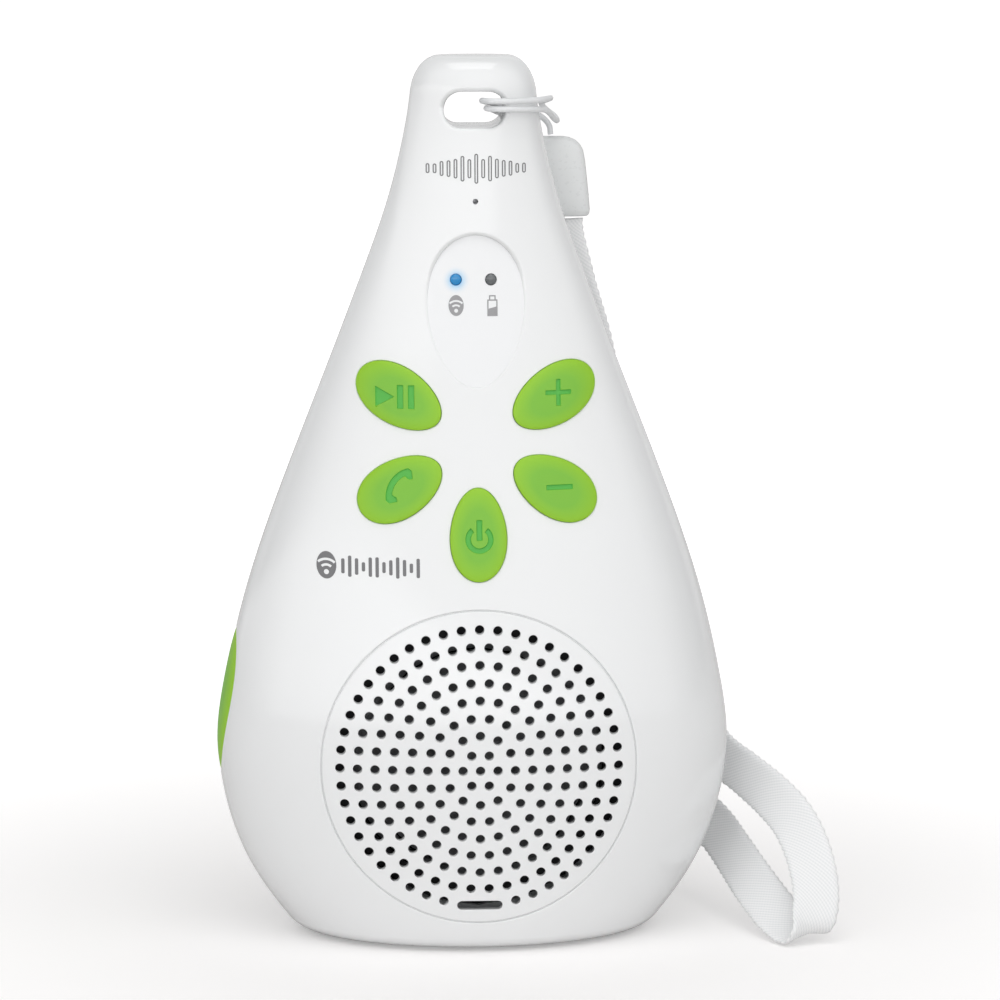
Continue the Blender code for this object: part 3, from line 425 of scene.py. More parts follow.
def to_net(outline):
    """Takes an outline (x, z) to a shell's (u, run)."""
    share = np.clip(outline[:, 0] / half_width(outline[:, 1]), -1, 1)
    return np.stack([TURN * np.arccos(share), outline[:, 1]], axis=-1)


def port_to_net(side):
    """Takes an outline (y, z) on the left flank to a shell's (u, run), across the joint."""

    def place(outline):
        y, z = outline[:, 0] * side - JOINT, outline[:, 1]
        reach = np.clip(y / (depth_of(z, side) - JOINT), -1, 1)
        return np.stack([TURN * (math.pi - np.arcsin(reach)), z], axis=-1)

    return place


def grid(low, high, step):
    """Points on a staggered grid between two corners."""
    points = []
    for i, v in enumerate(np.arange(low[1], high[1], step[1])):
        start = low[0] + (step[0] / 2 if i % 2 else 0)
        points += [(u, v) for u in np.arange(start, high[0], step[0])]
    return np.array(points)


def filling(outline, step, inset=0.0):
    """Points of a grid over the outline's box that lie inside it, or this far inside it."""
    points = grid(outline.min(axis=0), outline.max(axis=0), (step, step))
    return points[inside(grown(outline, -inset) if inset else outline, points)]


def painted(made, label, values):
    """Stores a value at each point of a mesh, for its material to read."""
    layer = made.data.attributes.new(label, "FLOAT", "POINT")
    layer.data.foreach_set("value", np.asarray(values).reshape(-1).astype(np.float32))


def spots_of(made):
    return np.array([v.co for v in made.data.vertices]) / MM


# ---------------------------------------------------------------- materials
def srgb(red, green, blue):
    """Linear colour from 0 to 255 values."""
    linear = []
    for value in (red, green, blue):
        share = value / 255
        linear.append(share / 12.92 if share <= 0.04045 else ((share + 0.055) / 1.055) ** 2.4)
    return (*linear, 1.0)


class Tree:
    """Helpers that add nodes to a node tree."""

    def __init__(self, tree):
        self.nodes, self.links = tree.nodes, tree.links

    def node(self, kind, **values):
        made = self.nodes.new(kind)
        for key, value in values.items():
            setattr(made, key, value)
        return made

    def feed(self, made, *values):
        """Sets or links the first sockets of a node and gives the node back."""
        for socket, value in zip(made.inputs, values):
            if isinstance(value, (float, tuple)):
                socket.default_value = value
            else:
                self.links.new(value, socket)
        return made

    def maths(self, operation, *values):
        return self.feed(self.node("ShaderNodeMath", operation=operation), *values).outputs["Value"]

    def vector(self, operation, *values):
        return self.feed(self.node("ShaderNodeVectorMath", operation=operation), *values).outputs["Value"]

    def ramp(self, value, low, high, start=0.0, end=1.0):
        return self.feed(self.node("ShaderNodeMapRange"), value, low, high, start, end).outputs["Result"]


class Finish(Tree):
    """A node material with a Principled shader."""

    def __init__(self, name, metallic=0.0, coat=0.0, **sockets):
        self.name, self.material = name, bpy.data.materials.new(name)
        self.material.use_nodes = True
        super().__init__(self.material.node_tree)
        self.shader = self.nodes["Principled BSDF"]
        self.shader.inputs["Metallic"].default_value = metallic
        self.shader.inputs["Coat Weight"].default_value = coat
        self.shader.inputs["Coat Roughness"].default_value = 0.04
        for socket, value in sockets.items():
            self.shader.inputs[socket.replace("_", " ")].default_value = value
        self.place = self.nodes.new("ShaderNodeTexCoord").outputs["Object"]

    def noise(self, scale, detail=3.0, roughness=0.5, stretch=(1, 1, 1)):
        mapping = self.node("ShaderNodeMapping")
        mapping.inputs["Scale"].default_value = stretch
        self.links.new(self.place, mapping.inputs["Vector"])
        made = self.node("ShaderNodeTexNoise")
        made.inputs["Scale"].default_value = scale
        made.inputs["Detail"].default_value = detail
        made.inputs["Roughness"].default_value = roughness
        self.links.new(mapping.outputs["Vector"], made.inputs["Vector"])
        return made.outputs["Fac"]

    def mix(self, share, first, second):
        made = self.node("ShaderNodeMix", data_type="RGBA")
        self.links.new(share, made.inputs[0])
        for socket, colour in ((made.inputs[6], first), (made.inputs[7], second)):
            if isinstance(colour, tuple):
                socket.default_value = colour
            else:
                self.links.new(colour, socket)
        return made.outputs[2]

    def colour(self, source):
        self.links.new(source, self.shader.inputs["Base Color"])

    def rough(self, value, low, high):
        self.links.new(self.ramp(value, 0.3, 0.7, low, high), self.shader.inputs["Roughness"])
        return self

    def bump(self, height, strength, distance):
        made = self.node("ShaderNodeBump")
        made.inputs["Strength"].default_value = strength
        made.inputs["Distance"].default_value = distance
        self.links.new(height, made.inputs["Height"])
        self.links.new(made.outputs["Normal"], self.shader.inputs["Normal"])
        return self

    def attribute(self, name):
        return self.node("ShaderNodeAttribute", attribute_name=name).outputs["Fac"]


def moulded(name, first, second, rough, coat=0.0, relief=0.0):
    """Moulded plastic or rubber: a faint drift of colour, uneven gloss and a fine grain."""
    made = Finish(name, coat=coat)
    drift = made.noise(45.0, 4.0)
    fine = made.noise(1400.0, 2.0, 0.6)
    made.colour(made.mix(drift, first, second))
    made.rough(fine, rough * 0.85, rough * 1.15)
    return made.bump(fine, relief, 0.00004) if relief else made


def badge_white():
    """The badge: a whiter plastic, with a blue glow round the link lens."""
    made = moulded("pearl_white", (0.86, 0.87, 0.88, 1), (0.89, 0.90, 0.91, 1), 0.12, coat=0.5)
    centre = (LINK_X * MM, float(skin_y(LINK_X, LENS_Z)) * MM, LENS_Z * MM)
    gap = made.vector("DISTANCE", made.place, centre)
    glow = made.maths("POWER", made.ramp(gap, 0.0008, 0.0026, 1.0, 0.0), 2.2)
    plain = made.shader.inputs["Base Color"].links[0].from_socket
    made.colour(made.mix(glow, plain, srgb(120, 196, 240)))
    return made


def green_rubber():
    """Green rubber with painted light: lime towards the rim, a painted highlight on the rounded edge, and a
    deeper green in the pressed icon, painted shade in its recess.
    """
    made = Finish("green_rubber", Specular_IOR_Level=0.4)
    drift = made.noise(120.0, 4.0)
    fine = made.noise(2600.0, 3.0, 0.6)
    field = made.mix(drift, srgb(124, 190, 62), srgb(132, 196, 64))
    # Painted highlight: towards the rim the green turns lime, where light catches the rounded edge.
    lit_rim_colour = made.mix(made.ramp(made.attribute("rim"), 0.55, 1.0), field, srgb(152, 205, 48))
    # Painted shade: the pressed icon gets a deeper green, for the shade in its recess.
    made.colour(made.mix(made.attribute("icon_shade"), lit_rim_colour, srgb(88, 184, 74)))
    made.rough(fine, 0.42, 0.52)
    return made.bump(fine, 0.25, 0.00003)


def woven_white():
    """White polyester webbing: fibres along the yarns and shaded hollows between them."""
    made = Finish("webbing", Sheen_Weight=0.25, Sheen_Roughness=0.4, Specular_IOR_Level=0.25)
    fibre = made.noise(3800.0, 3.0, 0.7, (1, 1, 3))
    broad = made.noise(90.0, 3.0)
    yarn = made.mix(broad, srgb(249, 249, 249), srgb(252, 252, 252))
    made.colour(made.mix(made.attribute("hollow"), yarn, srgb(228, 230, 231)))
    made.rough(fibre, 0.75, 0.9)
    return made.bump(fibre, 0.5, 0.00006)


def nylon():
    made = Finish("nylon_cord", Specular_IOR_Level=0.5, Transmission_Weight=0.12, IOR=1.45)
    strand = made.noise(2400.0, 3.0, 0.6, (1, 1, 0.3))
    made.colour(made.mix(strand, srgb(236, 238, 240), srgb(250, 251, 252)))
    made.rough(strand, 0.28, 0.42)
    return made.bump(strand, 0.3, 0.00004)


def circuit_board():
    made = Finish("circuit_board")
    lines = made.node("ShaderNodeTexBrick")
    lines.inputs["Scale"].default_value = 420.0
    lines.inputs["Mortar Size"].default_value = 0.03
    lines.inputs["Color1"].default_value = srgb(20, 92, 52)
    lines.inputs["Color2"].default_value = srgb(24, 100, 58)
    lines.inputs["Mortar"].default_value = srgb(60, 140, 84)
    made.links.new(made.place, lines.inputs["Vector"])
    made.colour(lines.outputs["Color"])
    return made.rough(made.noise(500.0), 0.3, 0.45)


def treated_cloth():
    made = Finish("treated_cloth")
    weave = made.node("ShaderNodeTexChecker")
    weave.inputs["Scale"].default_value = 2600.0
    weave.inputs["Color1"].default_value = srgb(176, 124, 58)
    weave.inputs["Color2"].default_value = srgb(140, 94, 40)
    made.links.new(made.place, weave.inputs["Vector"])
    made.colour(weave.outputs["Color"])
    made.rough(made.noise(800.0), 0.7, 0.85)
    return made.bump(weave.outputs["Fac"], 0.3, 0.00005)


def metal(name, colour, rough, grain, stretch):
    made = Finish(name, metallic=1.0)
    lines = made.noise(grain, 4.0, 0.6, stretch)
    made.colour(made.mix(lines, colour, tuple(0.85 * c for c in colour[:3]) + (1.0,)))
    made.rough(lines, rough * 0.8, rough * 1.3)
    return made.bump(lines, 0.1, 0.00002)


def glowing(name, colour, light, strength):
    made = Finish(name, coat=0.8, Emission_Strength=strength, Transmission_Weight=0.15)
    made.shader.inputs["Emission Color"].default_value = light
    haze = made.noise(900.0, 2.0)
    made.colour(made.mix(haze, colour, tuple(min(1.0, 1.15 * c) for c in colour[:3]) + (1.0,)))
    return made.rough(haze, 0.1, 0.18)


def ink(name, shade):
    made = Finish(name, Specular_IOR_Level=0.5)
    speck = made.noise(3000.0, 2.0)
    made.colour(made.mix(speck, srgb(shade, shade, shade + 2), srgb(shade + 10, shade + 10, shade + 12)))
    return made.rough(speck, 0.3, 0.4)


FINISHES = {made.name: made for made in (
    moulded("gloss_white", (0.85, 0.86, 0.865, 1), (0.87, 0.88, 0.885, 1), 0.10, coat=0.6),
    badge_white(),
    green_rubber(),
    moulded("soft_rubber", srgb(196, 198, 200), srgb(210, 212, 214), 0.6, relief=0.3),
    moulded("dark_plastic", srgb(34, 35, 37), srgb(44, 45, 48), 0.45, relief=0.3),
    # The cone's colour is a mid grey, lighter than a real black cone: painted light that stands in for the
    # light falling on it through the grille holes.
    moulded("cone_black", srgb(122, 123, 125), srgb(136, 137, 140), 0.5, relief=0.5),
    metal("steel", (0.62, 0.63, 0.65, 1), 0.28, 1600.0, (1, 8, 1)),
    circuit_board(),
    metal("copper", (0.85, 0.45, 0.28, 1), 0.3, 5000.0, (1, 12, 1)),
    treated_cloth(),
    moulded("battery_foil", srgb(30, 72, 140), srgb(38, 84, 158), 0.25, coat=0.4),
    moulded("twin_lead", srgb(170, 28, 24), srgb(190, 36, 30), 0.4),
    moulded("flat_cable", srgb(206, 208, 214), srgb(222, 224, 228), 0.35),
    glowing("link_lens", srgb(10, 118, 172), srgb(14, 138, 200), 0.28),
    glowing("charge_lens", srgb(104, 108, 110), srgb(0, 0, 0), 0.0),
    moulded("cap_plastic", srgb(222, 224, 224), srgb(230, 232, 232), 0.3, coat=0.1),
    nylon(),
    woven_white(),
)}
MARK_INK, ICON_INK = ink("mark_ink", 112), ink("icon_ink", 150)


def dress(piece, finish, body="root", slot=None, replaces=()):
    """Gives a new piece its finish and the body it rides on; slot is not used."""
    if isinstance(finish, str):
        slot, finish = slot or finish, FINISHES[finish]
    piece.data.materials.clear()
    piece.data.materials.append(finish.material)
    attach(piece, body)
    if replaces:
        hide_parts(*replaces)
    return piece


# ---------------------------------------------------------------- shells
def shell_net(side):
    net = Net()
    wide, low, high = TURN * math.pi, ROWS[0, 0], ROWS[-1, 0]
    across = [(u, low) for u in np.linspace(0, wide, 90)]
    up = [(wide, v) for v in np.linspace(low, high, 120)]
    back = [(u, high) for u in np.linspace(wide, 0, 90)]
    down = [(0.0, v) for v in np.linspace(high, low, 120)]
    net.line(np.array(across[:-1] + up[:-1] + back[:-1] + down[:-1]))
    clear = [net.opening(lambda g: stadium(SLOT_HALF, SLOT_RADIUS + g, SLOT_Z), 0.7, 5, to_net)]
    clear.append(net.opening(lambda g: port_outline(0.25 + g), 0.25, 3, port_to_net(side)))
    return net, clear


def shell(name, net, clear, side):
    """Fills a shell's net with points and lays it."""
    wide = TURN * math.pi
    for v in ROWS[1:-1:2, 0]:
        net.scatter([(u, v) for u in np.linspace(0.9, wide - 0.9, 80)], clear)
    flank = BODY_BOTTOM + BASE_EDGE
    net.scatter(grid((0.7, flank + 1.3), (wide - 0.7, BODY_TOP - CROWN_RISE - 0.7), (1.15, 1.4)), clear)

    def limit(centres):
        return (centres[:, 0] > 0) & (centres[:, 0] < wide)

    made = plate(f"{name}_skin", net, shell_outer(side), shell_inner(side), (0, 0, 60), limit)
    dress(made, "gloss_white", replaces=[name])


def front_shell():
    net, clear = shell_net(-1)
    rim = GRILLE_RADIUS + 0.22
    clear.append(net.opening(lambda g: circle(rim + g, 128, 0, GRILLE_Z), 0.2, 3, to_net))
    clear.append(net.opening(lambda g: window_outline(0.12 + g), 0.6, 5, to_net))
    for name in BUTTONS:
        clear.append(net.opening(lambda g: petal(name, KEY_GROW + 0.06 + g), 0.14, 3, to_net))
    clear.append(net.opening(lambda g: circle(MIC_HOLE + g, 20, 0, MIC_Z), 0.1, 2, to_net))
    shell("front_shell", net, clear, -1)


def rear_shell():
    net, clear = shell_net(1)
    for node in SCREW_NODES:
        x, _, z = middle(node)
        clear.append(net.opening(lambda g: circle(SCREW_BORE + g, 40, x, z), 0.25, 3, to_net))
    shell("rear_shell", net, clear, 1)


def ring_plate(name, outline, hole, near, far):
    """A plate behind the front skin, from near to far behind it, with a hole."""
    net = Net()
    net.line(outline)
    net.line(hole)
    net.openings.append(hole)
    net.scatter(filling(outline, 1.6, 0.5), [grown(hole, 0.4)])
    dress(plate(name, net, on_skin(-near), on_skin(-far), (0, 0, GRILLE_Z)), "gloss_white")


def seats():
    """The ledges behind the grille and the badge, which close the grooves round them."""
    rim, hole = (circle(GRILLE_RADIUS + g, 128, 0, GRILLE_Z) for g in (0.8, -0.1))
    ring_plate("grille_seat", rim, hole, 0.4, 2.6)
    ring_plate("badge_seat", window_outline(0.9), window_outline(-2.0), 1.85, 2.5)


def grille_holes():
    """Rings of 6, 12, 18 ... holes round a middle one; a slot takes three of the lowest."""
    holes = [(0.0, GRILLE_Z)]
    for ring in range(1, HOLE_RINGS + 1):
        for i in range(6 * ring):
            degrees = 60 * i / ring
            if ring == HOLE_RINGS and abs(degrees - 270) < 8:
                continue
            turn = math.radians(degrees)
            holes.append((ring * RING_PITCH * math.cos(turn), GRILLE_Z + ring * RING_PITCH * math.sin(turn)))
    return holes


def speaker_grille():
    net = Net()
    for grow, depth, lean in edge_turns(0.3, 3):
        net.line(circle(GRILLE_RADIUS + 0.05 - grow, 128, 0, GRILLE_Z), depth, lean, inward=False)
    clear = []
    for x, z in grille_holes():
        clear.append(net.opening(lambda g: circle(HOLE_RADIUS + g, 20, x, z), 0.14, 2))
    low = GRILLE_Z - HOLE_RINGS * RING_PITCH
    clear.append(net.opening(lambda g: stadium(DRAIN_HALF, HOLE_RADIUS + g, low, 8), 0.14, 2))
    reach = GRILLE_RADIUS - 0.6
    points = grid((-reach, GRILLE_Z - reach), (reach, GRILLE_Z + reach), (0.9, 0.8))
    net.scatter(points[inside(circle(reach, 64, 0, GRILLE_Z), points)], clear)
    made = plate("grille_plate", net, on_skin(0.0), on_skin(-1.5), (0, 0, GRILLE_Z))
    dress(made, FINISHES["gloss_white"], slot="pearl_white", replaces=["speaker_grille"])


def window_depth(z):
    """How far the badge lies below the skin: more towards the top."""
    foot = WINDOW_Z - WINDOW_LENGTH / 2
    share = np.clip((np.asarray(z, float) - foot) / WINDOW_LENGTH, 0, 1)
    return 0.12 + 0.75 * share**2


def in_window(offset):
    return lambda x, z: on_skin(offset - window_depth(z))(x, z)


def status_window():
    net = Net()
    for grow, depth, lean in edge_turns(0.05, 2):
        net.line(window_outline(0.36 - grow), depth, lean, inward=False)
    clear = [net.opening(lambda g: circle(LENS_RADIUS + 0.07 + g, 28, x, LENS_Z), 0.08, 2)
             for x in (LINK_X, CHARGE_X)]
    net.scatter(filling(window_outline(-0.6), 0.7), clear)
    made = plate("status_badge", net, in_window(0.0), in_window(-0.7), (0, 0, WINDOW_Z))
    dress(made, "pearl_white", replaces=["status_window"])


def lens(node, x):
    """A domed light pipe."""
    front = float(skin_y(x, LENS_Z) + window_depth(LENS_Z))
    depth = box_mm(node)[1][1]
    rings = [(0.0, -0.26), (0.25, -0.25), (0.5, -0.2), (0.72, -0.09), (0.84, 0.02), (LENS_RADIUS, 0.16)]
    profile = [(reach, front + y) for reach, y in rings] + [(LENS_RADIUS, depth), (0.0, depth)]
    made = spun(f"{node}_dome", profile, x, LENS_Z)
    dress(made, node, replaces=[node])


def spun(name, profile, x, z, steps=40):
    """A closed turned shape on an axis along Y through (x, z); profile is (radius, y) from the front."""
    points, faces, rings = [], [], []
    for reach, y in profile:
        if reach == 0:
            rings.append([len(points)])
            points.append((x, y, z))
            continue
        rings.append(list(range(len(points), len(points) + steps)))
        for i in range(steps):
            turn = 2 * math.pi * i / steps
            points.append((x + reach * math.cos(turn), y, z + reach * math.sin(turn)))
    for a, b in zip(rings, rings[1:]):
        for i in range(steps):
            j = (i + 1) % steps
            corners = [a[i % len(a)], a[j % len(a)], b[j % len(b)], b[i % len(b)]]
            corners = list(dict.fromkeys(corners))
            if len(corners) > 2:
                faces.append(corners)
    return mesh_piece(name, points, faces)


def mesh_piece(name, points, faces, angle=35):
    mesh = bpy.data.meshes.new(name)
    mesh.from_pydata([tuple(c * MM for c in p) for p in points], [], faces)
    work = bmesh.new()
    work.from_mesh(mesh)
    bmesh.ops.recalc_face_normals(work, faces=work.faces)
    work.to_mesh(mesh)
    work.free()
    mesh.shade_smooth()
    mesh.set_sharp_from_angle(angle=math.radians(angle))
    return placed(name, mesh)


# ---------------------------------------------------------------- buttons
def egg_share(u, v, length, width, point, grow=0.0):
    """0 at an egg's middle and 1 on its outline, for points in the egg's own frame."""
    long, wide = length / 2 + grow, width / 2 + grow
    share = np.hypot(u / wide, v / long) + 1e-9
    for _ in range(14):
        lean = np.clip(v / (share * long), -1, 1)
        share = np.hypot(u / (wide * (1 - point * lean)), v / long) + 1e-9
    return share


def crowned(share, high, low):
    return low + (high - low) * np.clip(1 - share**4, 0, 1) ** 0.6


def bar_outline(x, z, wide, tall, corner=0.12):
    """A rectangle with rounded corners."""
    points = []
    for sx, sz, start in ((1, 1, 0), (-1, 1, 90), (-1, -1, 180), (1, -1, 270)):
        for i in range(4):
            turn = math.radians(start + 30 * i)
            points.append((x + sx * (wide / 2 - corner) + corner * math.cos(turn),
                           z + sz * (tall / 2 - corner) + corner * math.sin(turn)))
    return np.array(points)


def arc_outline(x, z, inner, outer, start, end, steps=24):
    turns = np.radians(np.linspace(start, end, steps))
    far = [(x + outer * math.cos(t), z + outer * math.sin(t)) for t in turns]
    near = [(x + inner * math.cos(t), z + inner * math.sin(t)) for t in turns[::-1]]
    return np.array(far + near)


def handset_outline():
    """A handset: a bent bar with a pad at each end."""
    x, z, bend = 2.5, -1.35, 4.3
    turns = np.radians(np.linspace(193, 98, 30))
    far, near = [], []
    for i, turn in enumerate(turns):
        end = abs(2 * i / (len(turns) - 1) - 1)
        outer = bend + 0.58 - 0.5 * max(0.0, end - 0.86) / 0.14
        inner = bend - 0.42 - 0.8 * min(1.0, max(0.0, end - 0.62) / 0.12)
        far.append((x + outer * math.cos(turn), z + outer * math.sin(turn)))
        near.append((x + inner * math.cos(turn), z + inner * math.sin(turn)))
    return np.array(far + near[::-1])


def plus_outline():
    far, near = 2.15, 0.36
    points = [(near, near), (near, far), (-near, far), (-near, near), (-far, near), (-far, -near),
              (-near, -near), (-near, -far), (near, -far), (near, -near), (far, -near), (far, near)]
    return np.array(points)


ICONS = {  # outlines about the petal's middle
    "volume_up": [plus_outline() + (0.7, 0.6)],
    "volume_down": [bar_outline(0.7, 0.1, 4.4, 0.8)],
    "power": [arc_outline(0.1, -0.6, 1.45, 2.3, 128, 412), bar_outline(0.1, 0.85, 0.9, 3.3)],
    "call": [handset_outline()],
    "play_pause": [bar_outline(0.15, 0.05, 1.0, 3.8), bar_outline(1.95, 0.05, 1.0, 3.8),
                   np.array([(-3.9, 1.7), (-3.9, -1.6), (-0.85, 0.05)])],
}
PRESSED = 0.24  # depth of an icon, mm
KEY_GROW = -0.14  # how much larger a key is than the petal's outline
RIM_SHARES = (1.0, 0.996, 0.985, 0.965, 0.935, 0.89, 0.83, 0.75)  # lines that round a crowned edge


def resampled(outline, step):
    """The outline with points added along its long sides."""
    points = []
    for a, b in zip(outline, np.roll(outline, -1, axis=0)):
        count = max(1, int(round(np.linalg.norm(b - a) / step)))
        points += [a + (b - a) * i / count for i in range(count)]
    return np.array(points)


def button(name):
    """A rubber key: a crowned face with a pressed icon, and straight sides."""
    x, z = petal_middle(name)
    angle = math.radians(BUTTONS[name] + 90)
    cos, sin = math.cos(angle), math.sin(angle)

    def share_at(px, pz):
        a, b = px - x, pz - z
        u, v = a * cos + b * sin, -a * sin + b * cos
        return egg_share(u, v, PETAL_LENGTH, PETAL_WIDTH, PETAL_POINT, KEY_GROW)

    def face(px, pz):
        return on_skin(crowned(share_at(px, pz), 0.85, 0.22))(px, pz)

    net = Net()
    rim = petal(name, KEY_GROW)
    for share in RIM_SHARES:
        net.line(scaled(rim, share))
    icons, clear = [], []
    for outline in ICONS[name]:
        outline = resampled(outline + (x, z), 0.3)
        icons.append(outline)
        net.line(grown(outline, 0.05))
        net.line(outline, PRESSED * 0.35)
        net.line(grown(outline, -0.09), PRESSED)
        clear += [grown(outline, 0.2)]
    points = filling(scaled(rim, 0.7), 0.45)
    net.scatter(points, clear)
    for outline in icons:
        near = points[inside(grown(outline, -0.2), points)]
        if len(near):
            net.scatter(near, (), PRESSED)
    made = plate(f"{name}_key", net, face, on_skin(-2.3), (0, 0, FLOWER_Z), polish=False)
    spots = spots_of(made)
    # Points of the pressed icons, for the deeper green painted shade of their recess.
    icon_shade = np.zeros(len(spots))
    for outline in icons:
        icon_shade[inside(grown(outline, 0.01), spots[:, [0, 2]])] = 1
    # The rim share drives the lime painted highlight round the key's edge.
    painted(made, "rim", share_at(spots[:, 0], spots[:, 2]))
    painted(made, "icon_shade", icon_shade)
    dress(made, "green_rubber", f"{name}_key", replaces=[f"{name}_button"])


# ---------------------------------------------------------------- printed marks
def printed(name, outlines, surface, finish):
    """A print: the region inside an odd number of the outlines, a hair above the surface."""
    step = 0.7
    net = Net()
    for outline in outlines:
        net.line(resampled(outline, step))
    low = np.min([o.min(axis=0) for o in outlines], axis=0)
    high = np.max([o.max(axis=0) for o in outlines], axis=0)
    points = grid(low, high, (step, step))
    if len(points):
        net.scatter(points)

    def limit(centres):
        return sum(inside(outline, centres).astype(int) for outline in outlines) % 2 == 1

    made = plate(name, net, surface(0.03), surface(-0.02), (0, 0, 60), limit)
    dress(made, finish, slot="gloss_white")


def wave_icon(x, z, wide, tall):
    """An oval with a dot and two arcs left open in it, the plain sign for a radio link."""
    size, source = tall / 4.4, z - 1.1 * tall / 4.4
    outlines = [circle(1, 40) * (wide / 2, tall / 2) + (x, z), circle(0.42 * size, 16, x, source)]
    for reach in (1.15, 2.05):
        near, far = (reach - 0.2) * size, (reach + 0.2) * size
        outlines.append(arc_outline(x, source, near, far, 48, 132, 14))
    return outlines


def box_outline(left, right, low, high, high_right=None):
    return np.array([(left, low), (right, high_right or low), (right, high), (left, high)])


def marks():
    bars = []
    for i in range(15):
        place = i - 7
        tall = 1.0 + 3.9 * math.exp(-((place / 5.2) ** 2)) * (0.45 + 0.55 * abs(math.cos(1.35 * place)))
        bar = bar_outline(0.15 + 1.14 * place, 129.7, 0.62, tall, 0.3)
        bars += [bar, grown(bar, -0.19)]
    printed("waveform_print", bars, on_skin, MARK_INK)
    link = wave_icon(-25.0, 64.8, 3.25, 4.4)
    for i in range(12):
        tall = 1.1 + 2.3 * abs(math.sin(0.9 * i + 0.6))
        link.append(bar_outline(-22.3 + 1.12 * i, 64.8, 0.55, tall, 0.2))
    printed("link_print", link, on_skin, MARK_INK)
    printed("link_icon", wave_icon(-3.3, 107.3, 2.5, 3.4), in_window, ICON_INK)
    left, right, low, high = 1.85, 3.55, 105.55, 108.25
    body = box_outline(left, right, low, high)
    space = box_outline(left + 0.2, right - 0.2, 106.75, high - 0.2, 107.1)
    cap = box_outline(left + 0.3, right - 0.3, high, high + 0.7)
    gap = box_outline(left + 0.5, right - 0.5, high, high + 0.5)
    printed("charge_icon", [body, space], in_window, ICON_INK)
    printed("charge_icon_cap", [cap, gap], in_window, ICON_INK)


# ---------------------------------------------------------------- port door
def on_flank(proud):
    def at(y, z):
        return np.stack([flank_x(y, z) - proud, y, z], axis=-1)

    return at


def port_door():
    """The green rubber flap over the sockets, with the plug behind it."""
    rim = port_outline()

    def share_at(y, z):
        return egg_share(y - PORT_Y, z - PORT_Z, PORT_LENGTH, PORT_WIDTH, PORT_POINT)

    def face(y, z):
        return on_flank(crowned(share_at(y, z), 0.2, -0.2))(y, z)

    net = Net()
    for share in RIM_SHARES:
        net.line(scaled(rim, share))
    net.scatter(filling(scaled(rim, 0.7), 0.8))
    flap = plate("port_flap", net, face, on_flank(-1.5), (0, 0, PORT_Z))
    spots = spots_of(flap)
    # The rim share drives the lime painted highlight round the flap's edge.
    painted(flap, "rim", share_at(spots[:, 1], spots[:, 2]))
    dress(flap, "green_rubber", "door", replaces=["port_door"])
    net, plug = Net(), scaled(rim, 0.72)
    net.line(plug)
    net.scatter(filling(plug, 1.2, 0.5))
    made = plate("port_plug", net, on_flank(-1.4), on_flank(-2.7), (0, 0, PORT_Z))
    dress(made, "green_rubber", "door")


# ---------------------------------------------------------------- wrist strap
CORD_ROUTE = (
    (11.6, 9.8, 133.9), (11.2, 9.6, 135.2), (10.0, 9.3, 136.3), (8.2, 9.0, 137.0),
    (6.1, 8.6, 137.5), (4.5, 7.3, 137.9), (3.8, 4.4, 138.4), (2.9, 0.6, 138.9),
    (2.0, -4.0, 139.4), (2.5, -6.9, 139.5), (4.6, -7.7, 139.5), (7.4, -6.9, 139.4),
    (9.8, -5.2, 139.3), (11.7, -2.7, 139.0), (12.8, 0.6, 138.2), (13.7, 5.0, 137.1),
    (14.6, 9.0, 136.3), (14.4, 11.6, 136.8), (12.8, 12.2, 138.1), (12.0, 10.0, 139.3),
    (12.6, 6.0, 140.0), (13.0, 1.8, 140.6), (12.4, -1.8, 140.8), (10.6, -4.8, 140.8),
    (8.0, -6.6, 140.8), (5.2, -7.7, 140.8), (2.6, -7.5, 140.8), (1.3, -4.8, 140.7),
    (1.8, -0.8, 140.3), (2.9, 3.2, 139.8), (4.2, 6.7, 139.3), (6.6, 9.1, 138.9),
    (9.6, 9.8, 138.1), (12.0, 9.9, 136.9), (13.3, 9.9, 135.5), (13.6, 9.9, 133.9),
)
